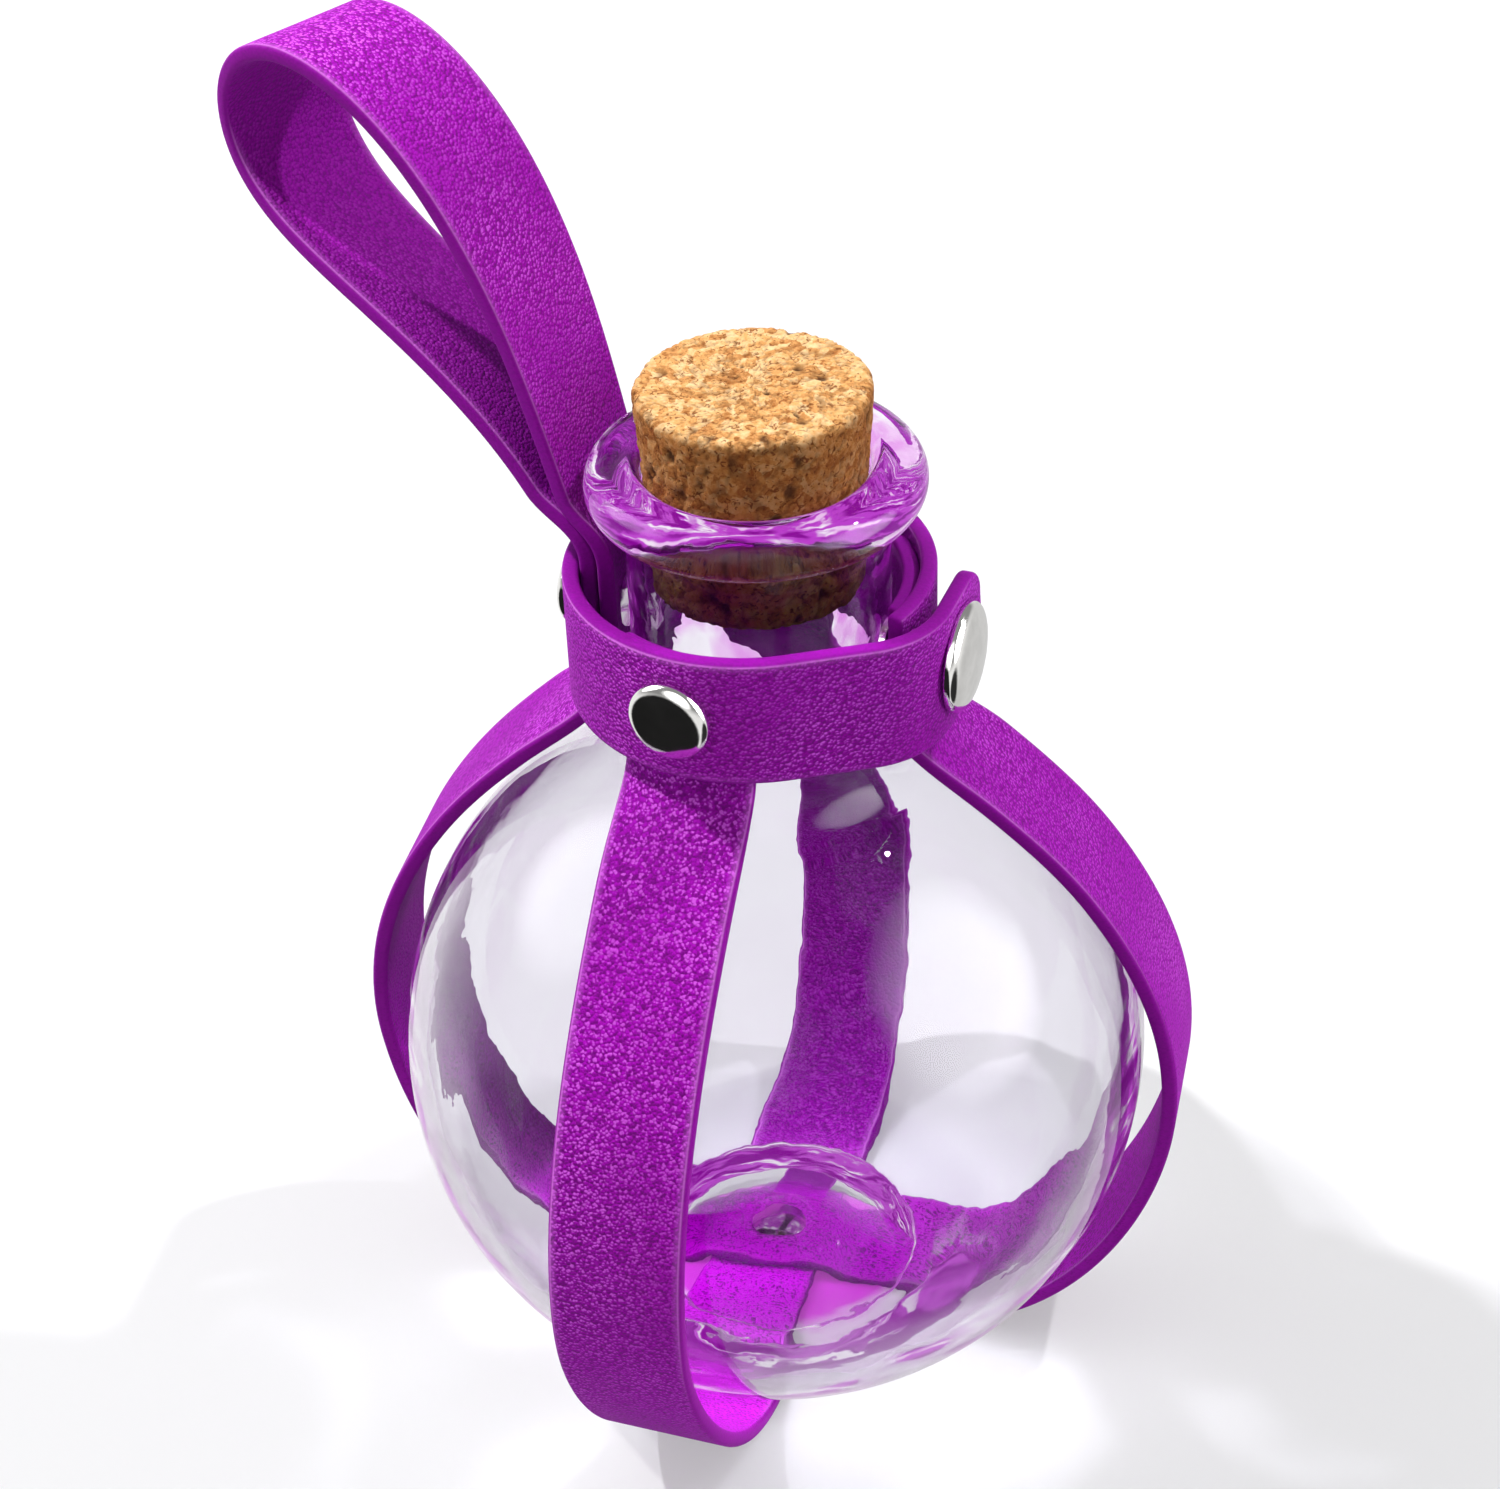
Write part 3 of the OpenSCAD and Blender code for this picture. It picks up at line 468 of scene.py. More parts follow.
def corkMaterial():
    # Each granule has its own tan; noise gives the fine pores, and cracks and pits are dark.
    # The sides are painted browner and darker than the top, a painted shade, and the part in the neck is
    # darker still, painted shade under the glass.
    look = corkLook
    material, tree, shader = newMaterial("cork agglomerated")
    place = objectCoordinates(tree)
    warp = noise(tree, place, look["warpScale"], 2.0)["Color"]
    bent = vectorNode(tree, "ADD", place, vectorNode(tree, "SCALE", warp, Scale=look["warp"]))
    cells = addNode(tree, "TexVoronoi", Vector=bent, Scale=look["cellScale"], Randomness=1.0)
    granule = addNode(tree, "SeparateColor", Color=cells.outputs["Color"]).outputs[0]
    pores = noise(tree, place, look["speckScale"], 3.0, Roughness=0.6, Distortion=1.6)["Fac"]
    grain = noise(tree, place, look["grainScale"], 4.0, Roughness=0.7)["Fac"]
    grainTone = product(tree, grain, look["grainTone"])
    tone = mathNode(tree, "MULTIPLY_ADD", granule, look["granuleTone"], grainTone)
    colour = rampNode(tree, tone, list(zip(look["toneSteps"], (look["brown"], look["tan"], look["pale"]))))
    colour = mixColour(tree, rangeNode(tree, pores, look["speckRange"], look["speckShare"], 0.0),
                       colour, look["speck"])
    # Painted shade: the cork's sides darker than its top
    colour = mixColour(tree, attributeValue(tree, "side"), colour, look["sideShade"], "MULTIPLY")
    hollow = product(tree, attributeValue(tree, "hollow"), look["darkShare"], clamp=True)
    colour = mixColour(tree, hollow, colour, look["dark"])
    # Painted shade on the part of the cork inside the neck
    inNeck = rangeNode(tree, splitPlace(tree, place)["Z"],
                       [(mouthZ + rise) * millimetre for rise in look["neckShadeRise"]], 1.0, 0.0)
    colour = mixColour(tree, inNeck, colour, look["neckShade"], "MULTIPLY")
    tree.links.new(colour, shader.inputs["Base Color"])
    shader.inputs["Roughness"].default_value = look["roughness"]
    shader.inputs["Specular IOR Level"].default_value = look["specular"]
    setBump(tree, shader, mathNode(tree, "MULTIPLY_ADD", pores, look["poreBump"], grain), look["bump"])
    return material


nickelLook = dict(
    dark=(0.74, 0.73, 0.71), bright=(0.86, 0.85, 0.83), cloudSteps=(0.3, 0.7), cloudScale=420.0,
    cloud=(0.3, 0.75), roughness=(0.05, 0.14), hairScale=5200.0, hairBump=0.000004)


def nickelMaterial():
    # Polished nickel: faint cloudiness in the gloss and hair-fine scratches
    look = nickelLook
    material, tree, shader = newMaterial("nickel polished")
    place = objectCoordinates(tree)
    cloud = noise(tree, place, look["cloudScale"], 3.0)["Fac"]
    hair = noise(tree, place, look["hairScale"], 2.0)["Fac"]
    colour = rampNode(tree, cloud, list(zip(look["cloudSteps"], (look["dark"], look["bright"]))))
    tree.links.new(colour, shader.inputs["Base Color"])
    rough = rangeNode(tree, cloud, look["cloud"], *look["roughness"], kind="LINEAR")
    tree.links.new(rough, shader.inputs["Roughness"])
    shader.inputs["Metallic"].default_value = 1.0
    setBump(tree, shader, hair, look["hairBump"])
    return material


leatherFinish = leatherMaterial()
glassFinish = glassMaterial()
corkFinish = corkMaterial()
nickelFinish = nickelMaterial()
print("materials ready")


def shoulderArc(ball, neck, fillet, count):
    # Hollow arc that touches the ball below and the neck's cylinder above
    z = ballZ + math.sqrt((ball + fillet) ** 2 - (neck + fillet) ** 2)
    lean = math.degrees(math.atan2(z - ballZ, neck + fillet))
    return lean, arc(neck + fillet, z, fillet, 180 + lean, 180, count)


def bottleProfile():
    # One closed outline: punt, foot, ball, neck and lip outside, then the bore and the cavity inside.
    # The punt's circle passes through the axis at its rise and touches the foot's rounded edge.
    b = glassBottle
    foot = b["footRadius"]
    edge = foot - b["footWidth"]
    edgeR = b["puntEdge"]
    rise = b["puntRise"]
    puntR = (edge ** 2 + (rise - edgeR) ** 2 - edgeR ** 2) / (2 * rise)
    puntZ = standZ + rise - puntR
    touch = math.degrees(math.atan2(standZ + edgeR - puntZ, edge))
    punt = arc(0, puntZ, puntR, 90, touch, 40)
    puntRim = arc(edge, standZ + edgeR, edgeR, 180 + touch, 270, 12)
    heel = b["heelRound"]
    down = math.degrees(math.atan2(ballZ - standZ - heel, foot))
    heelArc = arc(foot, standZ + heel, heel, 270, 360 - down, 14)
    neckR = b["boreRadius"] + b["neckWall"]
    lean, shoulder = shoulderArc(ballR, neckR, b["shoulderRound"], 14)
    ball = arc(0, ballZ, ballR, -down, lean, 84)
    lipR = neckR + b["lipReach"] - b["lipRound"]
    lipZ = mouthZ - b["lipRound"]
    under = lipR - neckR
    underLip = arc(neckR + under, lipZ - b["lipRound"] - under, under, 180, 90, 8)
    lip = arc(lipR, lipZ, b["lipRound"], -90, 90, 36)
    mouthR = b["mouthRound"]
    mouth = arc(b["boreRadius"] + mouthR, mouthZ - mouthR, mouthR, 90, 180, 12)
    inner = ballR - b["ballWall"]
    innerLean, innerShoulder = shoulderArc(inner, b["boreRadius"], b["shoulderRound"] + b["neckWall"], 14)
    floorZ = standZ + rise + b["baseWall"]
    roundZ = floorZ + b["floorRound"]
    roundR = math.sqrt((inner - b["floorRound"]) ** 2 - (ballZ - roundZ) ** 2)
    innerDown = math.degrees(math.atan2(ballZ - roundZ, roundR))
    cavity = arc(0, ballZ, inner, innerLean, -innerDown, 76)
    floorArc = arc(roundR, roundZ, b["floorRound"], -innerDown, -90, 22)
    floorFlat = np.stack([np.linspace(roundR, 0, 9)[1:], np.full(8, floorZ)], -1)
    return np.concatenate([
        punt, puntRim, heelArc, ball[1:], shoulder[1:], underLip, lip[1:], mouth,
        innerShoulder[::-1], cavity[1:], floorArc[1:], floorFlat])


def buildBottle():
    points, quads, tris = lathe(bottleProfile(), glassBottle["turns"])
    obj = putMesh("glass_bottle", points, quads, tris)
    dressPiece(obj, glassFinish, "harnessed_bottle", "bottle")


buildBottle()


def corkProfile():
    # Flat bottom, rounded rim, straight taper, rounded rim, flat top
    c = corkStopper
    mouthR = glassBottle["boreRadius"] - c["gap"]
    topR = mouthR + c["standsOut"] * c["taper"]
    lowR = mouthR - (c["length"] - c["standsOut"]) * c["taper"]
    lowZ = mouthZ + c["standsOut"] - c["length"]
    topZ = lowZ + c["length"]
    k = c["rimRound"]
    low = np.stack([np.linspace(0, lowR - k, 34), np.full(34, lowZ)], -1)
    lowRim = arc(lowR - k, lowZ + k, k, -90, 0, 7)[1:]
    side = np.stack([np.linspace(lowR, topR, 62), np.linspace(lowZ + k, topZ - k, 62)], -1)[1:]
    topRim = arc(topR - k, topZ - k, k, 0, 90, 7)[1:]
    top = np.stack([np.linspace(topR - k, 0, 38), np.full(38, topZ)], -1)[1:]
    return np.concatenate([low, lowRim, side, topRim, top])


def nearestGranules(points, seeds):
    # Distances to the two nearest granule centres, and which centre is nearest, block by block
    stretch = np.array([1, 1, corkStopper["stretch"]])
    seeds = seeds * stretch
    reach = np.empty((len(points), 2))
    nearest = np.empty(len(points), np.int64)
    block = 3000
    for start in range(0, len(points), block):
        some = points[start:start + block] * stretch
        away = (some ** 2).sum(1)[:, None] + (seeds ** 2).sum(1)[None] - 2 * some @ seeds.T
        order = np.argpartition(away, 2, axis=1)[:, :2]
        values = np.sqrt(np.maximum(np.take_along_axis(away, order, 1), 0))
        swap = np.argsort(values, axis=1)
        reach[start:start + block] = np.take_along_axis(values, swap, 1)
        nearest[start:start + block] = np.take_along_axis(order, swap, 1)[:, 0]
    return reach, nearest


def buildCork():
    # The lathe's skin sinks between the granules: depth follows how near the two nearest
    # granule centres are to being equally far, and some granules are missing, which leaves pits
    c = corkStopper
    count = c["granules"]
    random = np.random.default_rng(c["seed"])
    points, quads, tris = lathe(corkProfile(), c["turns"])
    seeds = points[random.choice(len(points), count, replace=False)]
    seeds = seeds + random.normal(0, c["granuleSize"] * c["scatter"], (count, 3))
    reach, nearest = nearestGranules(points, seeds)
    between = reach[:, 1] - reach[:, 0]
    crack = 1 - smoothStep(between / c["crackWidth"])
    missing = random.random(count) < c["pitShare"]
    pit = missing[nearest] * smoothStep(between / c["pitWidth"])
    lift = random.random(count)[nearest] * smoothStep(between / c["liftWidth"])
    depth = c["crackDepth"] * crack + c["pitDepth"] * pit + c["liftDepth"] * (1 - lift)
    centre = np.array([0, 0, mouthZ + c["standsOut"] - c["length"] / 2])
    inward = unitRows((centre - points) * np.array([1, 1, c["sinkLean"]]))
    points = points + inward * depth[:, None]
    obj = putMesh("cork_stopper", points, quads, tris)
    ring = np.hypot(points[:, 0], points[:, 1])
    below = mouthZ + c["standsOut"] - points[:, 2]
    addAttribute(obj, "side", smoothStep(below / c["sideStart"]) * (ring > c["topCentre"]))
    darkCracks = random.random(count)[nearest] > c["palerCracks"]
    addAttribute(obj, "hollow", np.clip(c["crackTone"] * crack * darkCracks + c["pitTone"] * pit, 0, 1))
    dressPiece(obj, corkFinish, "stopper", "cork")


buildCork()


def strapSection():
    # Rounded rectangle as [across, outward] pairs; the lower half mirrors the upper half
    w = leather["width"] / 2
    r = leather["edgeRound"]
    a = np.radians([7.5, 22.5, 37.5, 52.5, 67.5, 82.5])
    left = np.stack([-(w - r) - r * np.cos(a), halfT - r + r * np.sin(a)], -1)
    face = np.stack([np.linspace(r - w, w - r, 25)[1:-1], np.full(23, halfT)], -1)
    upper = np.concatenate([left, face, left[::-1] * [-1, 1]])
    bend = smoothStep(np.cos(a) * leather["edgeSpread"])
    edge = np.concatenate([bend, np.zeros(len(face)), bend[::-1]])
    return np.concatenate([upper, upper[::-1] * [1, -1]]), np.concatenate([edge, edge[::-1]])


def roundEnds(centre, side, curve, width, thick):
    # Four more stations at each end, where the section draws in round a quarter circle
    r = leather["endRound"]
    a = np.radians([22.5, 45.0, 67.5, 90.0])
    ahead = r * np.sin(a)[:, None]
    inset = r * (1 - np.cos(a))
    first = unitRows(centre[0] - centre[1])
    last = unitRows(centre[-1] - centre[-2])
    centre = np.concatenate([
        (centre[0] + (ahead - r) * first)[::-1], centre[1:-1], centre[-1] + (ahead - r) * last])
    side = np.concatenate([np.repeat(side[:1], 4, 0), side[1:-1], np.repeat(side[-1:], 4, 0)])
    curve = np.concatenate([np.repeat(curve[:1], 4), curve[1:-1], np.repeat(curve[-1:], 4)])
    width = np.concatenate([(width[0] - inset)[::-1], width[1:-1], width[-1] - inset])
    thick = np.concatenate([(thick[0] - inset)[::-1], thick[1:-1], thick[-1] - inset])
    return centre, side, curve, width, thick


def raiseRound(points, facing, spot, direction, radius):
    # The leather swells in a ring round a pressed head: a bell curve of the distance from the ring
    m = metalHeads
    offset = points - spot
    along = offset @ direction
    away = np.linalg.norm(offset - along[:, None] * direction, axis=1)
    ring = np.exp(-((away - radius - m["bulgeReach"]) / m["bulgeWidth"]) ** 2)
    near = facing & (along > -m["bulgeDepth"])
    return points + (near * ring * m["bulge"])[:, None] * direction


def strapMesh(name, centre, side, curve, width=None, bulges=()):
    # A section carried along the stations. Where curve is not zero the section is bent round a
    # circle of radius 1/curve: across runs along the arc and outward along its radius.
    w = leather["width"] / 2
    width = np.full(len(centre), w) if width is None else width
    centre, side, curve, width, thick = roundEnds(centre, side, curve, width, np.full(len(centre), halfT))
    section, edge = strapSection()
    tangent = unitRows(np.gradient(centre, axis=0))
    tangent[0] = tangent[3]
    tangent[-1] = tangent[-4]
    side = unitRows(side - (side * tangent).sum(1)[:, None] * tangent)
    outward = np.cross(tangent, side)
    across = section[None, :, 0] * (width / w)[:, None]
    out = section[None, :, 1] * (thick / halfT)[:, None]
    straight = 1e-5
    k = np.where(np.abs(curve) < straight, straight, curve)[:, None]
    a = across * k
    points = (centre[:, None] + side[:, None] * (np.sin(a) * (1 / k + out))[..., None]
              + outward[:, None] * (out * np.cos(a) - (1 - np.cos(a)) / k)[..., None])
    rows, cols = points.shape[:2]
    facing = np.repeat((section[:, 1] > halfT * 0.98)[None], rows, 0).reshape(-1)
    points = points.reshape(-1, 3)
    for spot, direction, radius in bulges:
        points = raiseRound(points, facing, spot, direction, radius)
    j = np.arange(cols // 2 - 1)
    cap = np.stack([j, j + 1, cols - 2 - j, cols - 1 - j], -1)
    quads = np.concatenate([gridQuads(rows, cols), cap[:, ::-1], cap + (rows - 1) * cols])
    obj = putMesh(name, points, quads)
    endShare = np.zeros(rows)
    endShare[:4] = endShare[-4:] = 1
    addAttribute(obj, "edge", np.maximum(edge[None], endShare[:, None] * np.ones(cols)[None]))
    addAttribute(obj, "inner", np.repeat((section[:, 1] < 0)[None], rows, 0))
    return obj


def reachTo(bearing, place, radius):
    # Distance along a bearing, from a point set sideways, to a circle about the collar's axis
    p = place * sideDir(bearing) - collarC
    b = p @ outDir(bearing)
    return -b + math.sqrt(b * b - p @ p + radius ** 2)


def collarBearing(bearing, place, radius):
    # Bearing of that point on the circle, seen from the collar's axis
    p = place * sideDir(bearing) + reachTo(bearing, place, radius) * outDir(bearing) - collarC
    return math.degrees(math.atan2(p[0], -p[1]))


route = strapRoute
frontMid = collarBearing(route["frontBearing"], route["frontPlace"], strapMid)
backMid = collarBearing(route["frontBearing"] + 180, -route["frontPlace"], strapMid)
rightMid = collarBearing(route["sideBearing"], route["sideTopPlace"], strapMid)
leftMid = collarBearing(route["sideBearing"] + 180, -route["sideTopPlace"], strapMid)


def armStations(bearing, topPlace, room, place, lowPlace, midBearing, turn):
    # From the collar down to the foot: upright in the collar, then two cubic curves round the ball.
    # The section follows the collar's circle at the top and lies flat further down.
    r = strapRoute
    reach = reachTo(bearing, topPlace * turn, strapMid)
    bendZ = collarZ - r["armLeave"]
    wide = ballR + room + halfT
    wideZ = ballZ - r["armDrop"]
    foot = glassBottle["footRadius"]
    straight = np.stack([np.full(9, reach), np.linspace(strapTop, bendZ, 9)], -1)[:-1]
    upper = bezier((reach, bendZ), (reach, bendZ - r["armPull"]),
                   (wide, ballZ + ballR * r["armHigh"]), (wide, wideZ), 62)
    lower = bezier((wide, wideZ), (wide, wideZ - ballR * r["armLow"]),
                   (foot + r["armReach"], halfT), (foot + r["footMargin"], halfT), 54)[1:]
    line = np.concatenate([straight, upper, lower])
    run, z = line[:, 0], line[:, 1]
    slideZ = ballZ + ballR * r["armSlide"]
    high = smoothStep((z - slideZ) / (bendZ - slideZ))
    low = smoothStep(r["lowStart"] - z / (ballZ * r["lowSpan"]))
    sideways = (place * (1 - high) + topPlace * high) * (1 - low) + lowPlace * low
    wrap = smoothStep((z - bendZ) / r["armUnwrap"] + 1)
    swing = midBearing - bearing
    swing -= 360 * round(swing / 360)
    centre = sideways[:, None] * sideDir(bearing) * turn + run[:, None] * outDir(bearing)
    centre[:, 2] = z
    return centre, turn * sideDir(bearing + wrap * swing), wrap / strapMid


def underStations(bearing, place, rise):
    # Flat under the bottle, with a smooth rise over the other strap where there is one
    r = strapRoute
    end = glassBottle["footRadius"] - r["underReach"]
    q = np.linspace(end, -end, 61)
    mid = crossPoint() @ outDir(bearing)[:2]
    flat = leather["width"] / 2 + leather["layerGap"]
    lift = rise * smoothStep(1 - (np.abs(q - mid) - flat) / (leather["thickness"] * r["climb"]))
    centre = place * sideDir(bearing) + q[:, None] * outDir(bearing)
    centre[:, 2] = halfT + lift
    return centre, np.repeat(sideDir(bearing)[None], len(q), 0), np.zeros(len(q))


def joinStations(*parts):
    # Stations are three arrays: centres, sideways directions and how far the section is bent
    return [np.concatenate([p[i] for p in parts]) for i in range(3)]


def turnRound(stations):
    return [s[::-1] for s in stations]


def headPlace(bearing, distance):
    # At the collar's middle height, a distance from its axis
    return collarC + outDir(bearing) * distance + np.array([0, 0, collarMidZ])


def buildCollar():
    # Seen from above: a ring from the lap's inner end round to the front, a short straight run, a
    # wide bend that clears the lap, and the straight tab under the snap with rounded corners
    c = collarBand
    snap = c["snapBearing"]
    lap = snap - math.degrees(c["lapEnd"] / collarMid)
    tabMid = collarOut + c["snapRoom"] + halfT
    turn = math.radians(snap - c["tabLeave"])
    bendR = (tabMid - collarMid * math.cos(turn) - c["tabRun"] * math.sin(turn)) / (1 - math.cos(turn))
    bendC = collarC + (collarMid - bendR) * outDir(c["tabLeave"]) + c["tabRun"] * sideDir(c["tabLeave"])
    toSnap = -(bendC - collarC) @ sideDir(snap)
    ring = collarC + collarMid * outDir(np.linspace(lap, 360 + c["tabLeave"], 230))
    run = ring[-1] + np.linspace(0, c["tabRun"], 9)[1:-1, None] * sideDir(c["tabLeave"])
    bend = bendC + bendR * outDir(np.linspace(c["tabLeave"], snap, 26))
    corner = c["tabRound"]
    theta = np.radians(np.linspace(0, 90, 16))
    reach = toSnap + c["tabEnd"]
    straight = np.linspace(0, reach - corner, 12)[1:-1]
    ahead = np.concatenate([straight, reach - corner + corner * np.sin(theta)])
    tail = bend[-1] + ahead[:, None] * sideDir(snap)
    centre = np.concatenate([ring, run, bend, tail])
    centre[:, 2] = collarMidZ
    width = np.full(len(centre), leather["width"] / 2)
    width[-len(theta):] = leather["width"] / 2 - corner + corner * np.cos(theta)
    side = np.repeat([[0.0, 0.0, 1.0]], len(centre), 0)
    rivetR = metalHeads["rivetRadius"]
    heads = [(headPlace(b, collarOut), outDir(b), rivetR) for b in (frontMid, backMid, leftMid)]
    heads.append((headPlace(snap, tabMid + halfT), outDir(snap), metalHeads["snapRadius"]))
    obj = strapMesh("collar_band", centre, side, np.zeros(len(centre)), width, heads)
    dressPiece(obj, leatherFinish, "harnessed_bottle", "collar")


def buildFrontBackStrap():
    # Down the front arm, flat under the bottle and up the back arm
    r = strapRoute
    bearing, place, low = r["frontBearing"], r["frontPlace"], r["frontLowPlace"]
    front = armStations(bearing, place, r["frontRoom"], place, low, frontMid, 1)
    back = armStations(bearing + 180, place, r["backRoom"], place, low, backMid, -1)
    under = underStations(bearing, low, 0)
    obj = strapMesh("strap_front_back", *joinStations(front, under, turnRound(back)))
    dressPiece(obj, leatherFinish, "harnessed_bottle", "front_back_strap")


def loopStations():
    # The strap leaves the collar as the outer strand and comes back as the inner strand. Its axis
    # bends along a circle from lean to droop, and the strands stand apart by swell times
    # sin(turn) times a power of sin(turn/2), which gathers them near the collar.
    p = hangingLoop
    turn = np.radians(np.linspace(359.9, 0.1, 261))[:, None]
    w = (1 - np.cos(turn)) / 2
    leanStart, bend = math.radians(p["lean"]), math.radians(p["droop"] - p["lean"])
    lean = leanStart + bend * w
    radius = p["length"] / bend
    away, along, up = outDir(p["bearing"]), sideDir(p["bearing"]), np.array([0, 0, 1.0])
    axis = (collarC + strapTop * up
            + away * ((strapMid + returnMid) / 2 + radius * (math.cos(leanStart) - np.cos(lean)))
            + up * radius * (np.sin(lean) - math.sin(leanStart))
            + along * p["length"] * math.tan(math.radians(p["swing"])) * w * w)
    inward = up * np.sin(lean) - away * np.cos(lean)
    ahead = away * np.sin(lean) + up * np.cos(lean)
    twist = math.radians(p["twist"]) * w
    spread = (p["swell"] * np.sin(turn) * np.sin(turn / 2) ** p["gather"]
              + (strapMid - returnMid) / 2 * np.cos(turn / 2))
    place = axis + (inward * np.cos(twist) - along * np.sin(twist)) * spread
    across = along * np.cos(twist) + inward * np.sin(twist) + ahead * np.tan(math.radians(p["slant"]) * w)
    outer = turn > math.pi
    mid = np.where(outer, strapMid, returnMid)
    free = smoothStep((place[:, 2:] - collarTop - p["settleFrom"]) / p["settle"])
    stand = collarC + mid * outDir(leftMid * (1 - free[:, 0]) + p["bearing"] * free[:, 0])
    stand[:, 2] = place[:, 2]
    side = -sideDir(leftMid) * (1 - free) - across * free
    curve = np.where(outer, 1, -1) * (1 - free) / mid
    return stand * (1 - free) + place * free, unitRows(side), curve[:, 0]


def buildSideStrap():
    # Down the right arm, under the bottle above the other strap, up the left arm, round the loop and
    # down again inside the collar, where the end is riveted
    r = strapRoute
    bearing, topPlace, place, low = r["sideBearing"], r["sideTopPlace"], r["sidePlace"], r["sideLowPlace"]
    right = armStations(bearing, topPlace, r["rightRoom"], place, low, rightMid, 1)
    left = armStations(bearing + 180, topPlace, r["leftRoom"], place, low, leftMid, -1)
    left = [s[1:] for s in left]
    under = underStations(bearing, low, leather["thickness"] + leather["crossGap"])
    returnZ = np.linspace(strapTop, collarZ + r["returnMargin"], 12)[1:]
    end = np.repeat((collarC + returnMid * outDir(leftMid))[None], len(returnZ), 0)
    end[:, 2] = returnZ
    back = (end, np.repeat(-sideDir(leftMid)[None], len(end), 0), np.full(len(end), -1 / returnMid))
    obj = strapMesh("strap_side_and_loop", *joinStations(right, under, turnRound(left), loopStations(), back))
    dressPiece(obj, leatherFinish, "harnessed_bottle", "side_strap")


buildCollar()
buildFrontBackStrap()
buildSideStrap()


def headMesh(name, node, bearing, base, radius, height, sink):
    # Full dome: radius times sin(a)^(2/n) against height times cos(a)^(2/n), on a short upright rim
    m = metalHeads
    n = m["fullness"]
    a = np.radians(np.linspace(0, 90, 44))
    rim = height * m["rimShare"]
    dome = np.stack([radius * np.sin(a) ** (2 / n), rim + (height - rim) * np.cos(a) ** (2 / n)], -1)
    dome[0] = (0, height)
    dome[-1] = (radius, rim)
    foot = arc(radius - m["footRound"], -sink + m["footRound"], m["footRound"], 0, -90, 6)
    profile = np.concatenate([dome, foot, [[0, -sink]]])
    points, quads, tris = lathe(profile, m["turns"])
    points = (headPlace(bearing, 0) + points[:, :1] * sideDir(bearing)
              + points[:, 1:2] * np.array([0, 0, 1.0]) + (base + points[:, 2:]) * outDir(bearing))
    obj = putMesh(name, points, quads, tris)
    dressPiece(obj, nickelFinish, "harnessed_bottle", node)


def buildMetal():
    # Three rivet heads on the collar's outer face, and the snap's cap on the tab
    m = metalHeads
    for name, bearing in (("front", frontMid), ("back", backMid), ("loop", leftMid)):
        headMesh(f"rivet_head_{name}", f"{name}_rivet_cap", bearing, collarOut, m["rivetRadius"],
                 m["rivetHeight"], m["rivetSink"])
    tabOut = collarOut + collarBand["snapRoom"] + leather["thickness"]
    headMesh("snap_head", "snap_cap", collarBand["snapBearing"], tabOut + m["gap"], m["snapRadius"],
             m["snapHeight"], 0.0)


buildMetal()

# The metal parts that nothing replaces keep their CAD shape
for name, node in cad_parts.items():
    if "rivet" in name or "snap" in name:
        node.data.materials.clear()
        node.data.materials.append(nickelFinish)


# A box or spot is a side of the sky, the cosines where it starts and is full, and its strength
studio = dict(
    floorSize=6.0, floorColour=(0.50, 0.50, 0.51), floorGlow=0.39, floorGlowReflected=0.1,
    farGlow=0.62, farReach=(0.12, 1.1), skyDiffuse=0.42, overhead=0.3, overheadRise=(-0.1, 0.35),
    insideDark=(0.38, 0.006, 0.45), insideMiddle=(0.54, 0.07, 0.63), insidePale=(0.95, 0.90, 0.97),
    insideSteps=(0.40, 0.50, 0.56, 0.62), insideScale=5.0,
    boxes=(((0.80, -0.30, 0.42), (0.84, 0.96), 17.0), ((-0.80, 0.24, 0.60), (0.90, 0.985), 9.0),
           ((-0.30, -0.80, 0.55), (0.84, 0.96), 2.0)),
    darkSpots=(((-0.64, -0.50, -0.59), (0.66, 0.76), 0.985), ((0.62, -0.45, -0.60), (0.86, 0.93), 0.97),
               ((0.56, 0.58, -0.59), (0.60, 0.90), 0.33)),
    leftLamp=9.4, rightLamp=5.1, lampDistance=1.1, lampSize=0.035, lampLean=(78.0, 24.0, 127.0),
    lampTarget=(0, 0, 0.06))

camera = dict(elevation=36.15, roll=-2.29, distance=0.344, target=(-0.0017, 0, 0.0818), lens=75.2,
              sensor=36.0, clipStart=0.01)

white = (1.0, 1.0, 1.0)


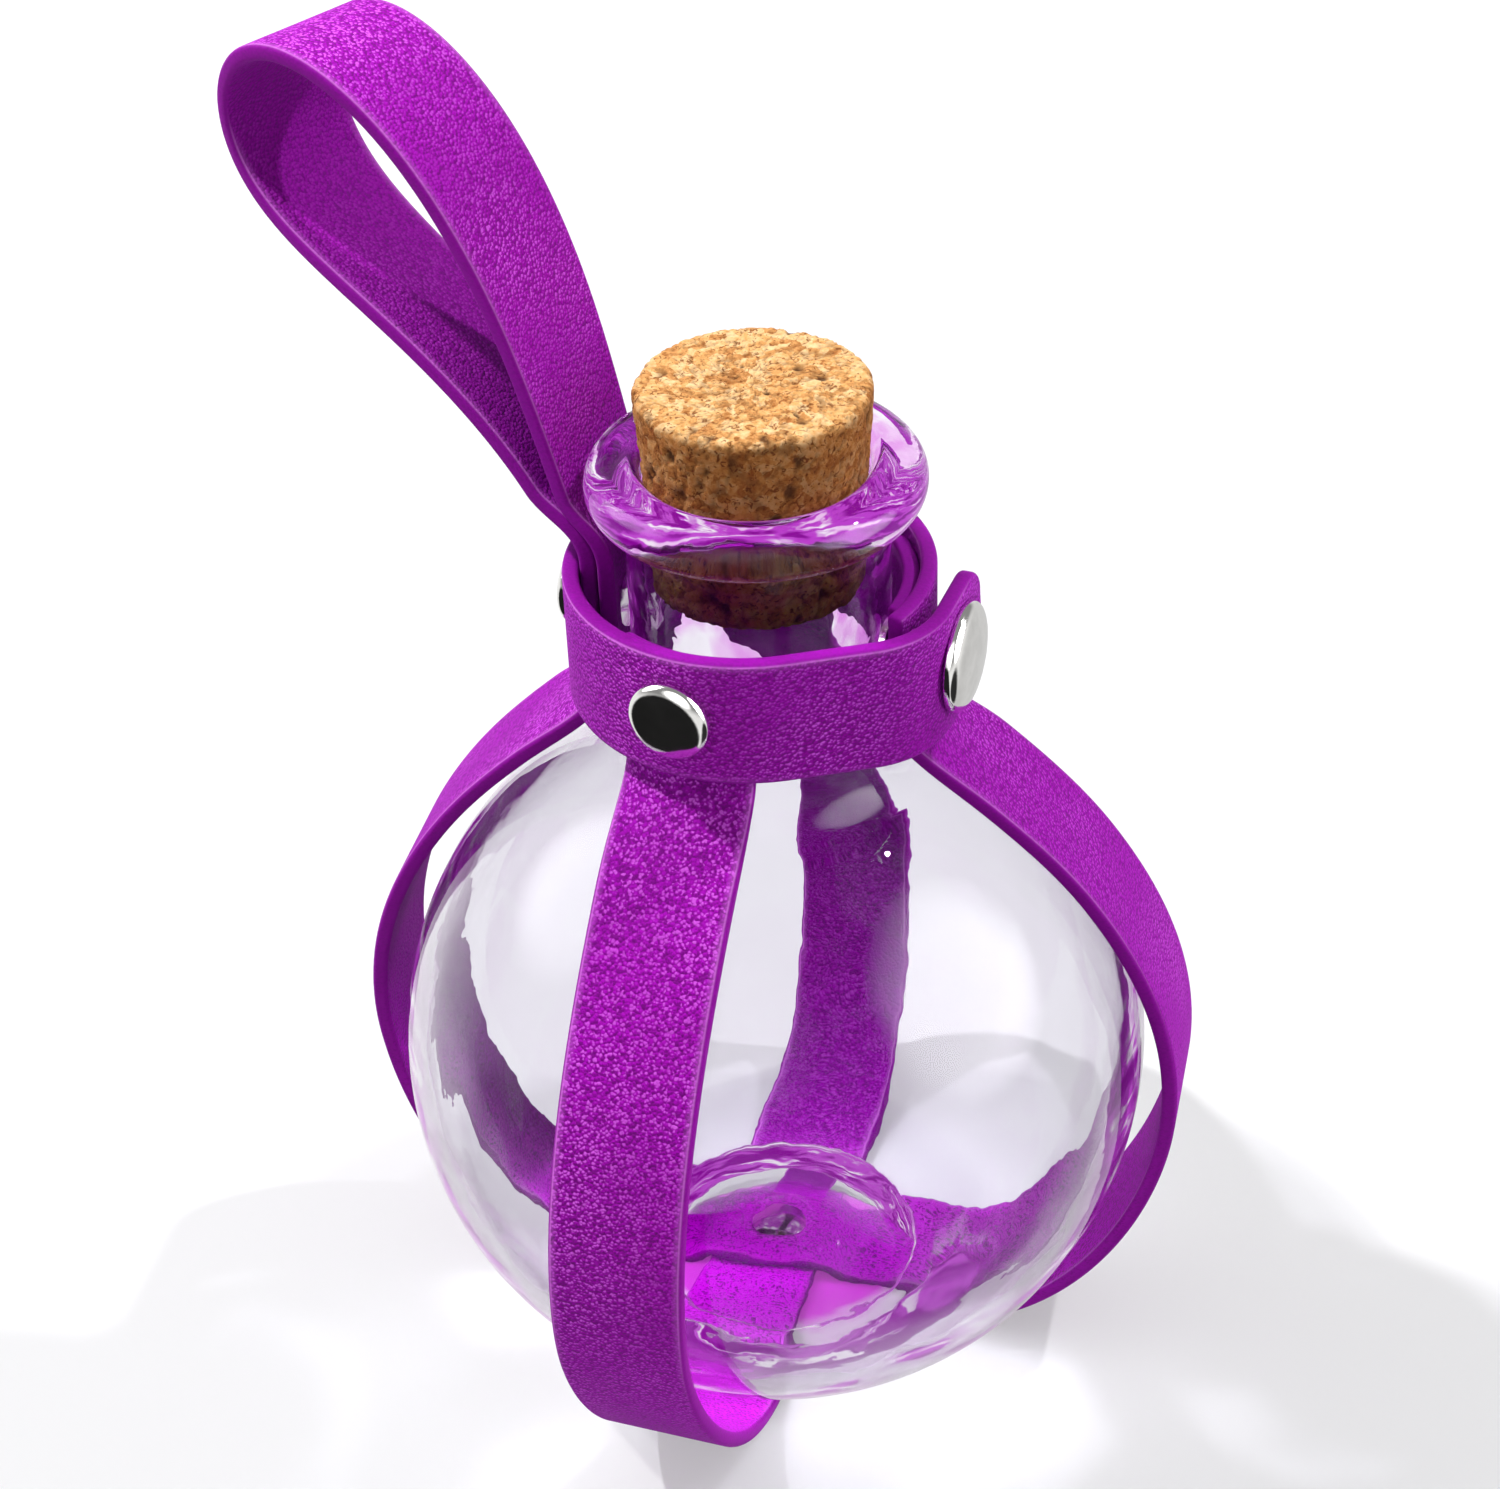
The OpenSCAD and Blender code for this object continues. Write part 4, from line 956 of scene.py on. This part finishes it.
def buildFloor():
    # A matt floor with a glow of its own, which grows with the distance, so that the shadows stay
    # near the object; rays that light the object don't see the glow
    s = studio["floorSize"]
    mesh = bpy.data.meshes.new("floor")
    mesh.from_pydata([(-s, -s, 0), (s, -s, 0), (s, s, 0), (-s, s, 0)], [], [(0, 1, 2, 3)])
    floor = bpy.data.objects.new("floor", mesh)
    bpy.context.scene.collection.objects.link(floor)
    floor.visible_glossy = False
    material, tree, shader = newMaterial("floor white")
    tree.nodes.remove(shader)
    path = addNode(tree, "LightPath").outputs
    matt = addNode(tree, "BsdfDiffuse", Color=(*studio["floorColour"], 1))
    mirrored = mathNode(tree, "GREATER_THAN", path["Glossy Depth"], 0.5)
    level = rangeNode(tree, mirrored, (0.0, 1.0), studio["floorGlow"], studio["floorGlowReflected"], "LINEAR")
    away = vectorNode(tree, "LENGTH", objectCoordinates(tree))
    level = mathNode(tree, "ADD", level, rangeNode(tree, away, studio["farReach"], 0.0, studio["farGlow"]))
    straight = mathNode(tree, "LESS_THAN", path["Diffuse Depth"], 0.5)
    glow = addNode(tree, "Emission", Color=(*white, 1), Strength=product(tree, level, straight))
    both = addNode(tree, "AddShader")
    tree.links.new(matt.outputs["BSDF"], both.inputs[0])
    tree.links.new(glow.outputs["Emission"], both.inputs[1])
    tree.links.new(both.outputs["Shader"], tree.nodes["Material Output"].inputs["Surface"])
    mesh.materials.append(material)


def towardsShare(tree, direction, side, span, share):
    # Grows to share as a direction nears the given side; span holds cosines of the angle
    towards = vectorNode(tree, "DOT_PRODUCT", direction, Vector(side).normalized())
    return rangeNode(tree, towards, span, 0.0, share)


def buildWorld():
    # White round about. Mirrored rays see a dimmer ceiling, soft boxes at the sides and the dark
    # spots that polished heads show; rays mirrored inside the glass see streaks, a painted reflection of the
    # leather.
    world = bpy.data.worlds.new("studio")
    bpy.context.scene.world = world
    world.use_nodes = True
    tree = world.node_tree
    background = tree.nodes["Background"]
    direction = addNode(tree, "TexCoord").outputs["Generated"]
    rise = splitPlace(tree, direction)["Z"]
    metalSees = rangeNode(tree, rise, studio["overheadRise"], 1.0, studio["overhead"])
    for side, span, depth in studio["darkSpots"]:
        metalSees = product(tree, metalSees, rest(tree, towardsShare(tree, direction, side, span, depth)))
    for side, span, glow in studio["boxes"]:
        metalSees = mathNode(tree, "ADD", metalSees, towardsShare(tree, direction, side, span, glow))
    path = addNode(tree, "LightPath").outputs
    diffuse = mathNode(tree, "GREATER_THAN", path["Diffuse Depth"], 0.5)
    mirrored = mathNode(tree, "GREATER_THAN", path["Glossy Depth"], 0.5)
    inGlass = product(tree, mirrored, path["Is Transmission Ray"])
    # Lilac and white streaks for rays mirrored inside the glass: a painted reflection of the leather
    flow = noise(tree, direction, studio["insideScale"], 3.0, Distortion=0.8)["Fac"]
    tones = (studio["insideDark"], studio["insideMiddle"], studio["insideMiddle"], studio["insidePale"])
    inside = rampNode(tree, flow, list(zip(studio["insideSteps"], tones)))
    colour = mixColour(tree, inGlass, white, inside)
    colour = mixColour(tree, mathNode(tree, "SUBTRACT", mirrored, inGlass, clamp=True), colour, metalSees)
    colour = mixColour(tree, diffuse, colour, (studio["skyDiffuse"],) * 3)
    tree.links.new(colour, background.inputs["Color"])
    background.inputs["Strength"].default_value = 1.0


def addLamp(name, lean, power):
    # A round lamp in the direction of lean from its target, turned to face it
    lamp = bpy.data.lights.new(name, "AREA")
    lamp.shape = "DISK"
    lamp.size = studio["lampSize"]
    lamp.energy = power
    obj = bpy.data.objects.new(name, lamp)
    bpy.context.scene.collection.objects.link(obj)
    target = Vector(studio["lampTarget"])
    obj.location = target + Vector(lean).normalized() * studio["lampDistance"]
    obj.rotation_euler = (obj.location - target).to_track_quat("Z", "Y").to_euler()


def addCamera():
    # The photograph's view: 36 degrees down, turned a little about the line of sight
    elevation, roll = math.radians(camera["elevation"]), math.radians(camera["roll"])
    back = Vector((0, -math.cos(elevation), math.sin(elevation)))
    right = Vector((1, 0, 0))
    up = back.cross(right)
    turnedRight = math.cos(roll) * right + math.sin(roll) * up
    turnedUp = math.cos(roll) * up - math.sin(roll) * right
    data = bpy.data.cameras.new("camera")
    data.lens = camera["lens"]
    data.sensor_width = camera["sensor"]
    data.sensor_fit = "HORIZONTAL"
    data.clip_start = camera["clipStart"]
    obj = bpy.data.objects.new("camera", data)
    bpy.context.scene.collection.objects.link(obj)
    placed = Matrix((turnedRight, turnedUp, back)).transposed().to_4x4()
    placed.translation = Vector(camera["target"]) + back * camera["distance"]
    obj.matrix_world = placed
    bpy.context.scene.camera = obj


buildFloor()
buildWorld()
leanX, leanY, leanZ = studio["lampLean"]
addLamp("lamp left", (-leanX, leanY, leanZ), studio["leftLamp"])
addLamp("lamp right", (leanX, leanY, leanZ), studio["rightLamp"])
addCamera()
bpy.context.scene.view_settings.view_transform = "Standard"
print("studio ready")
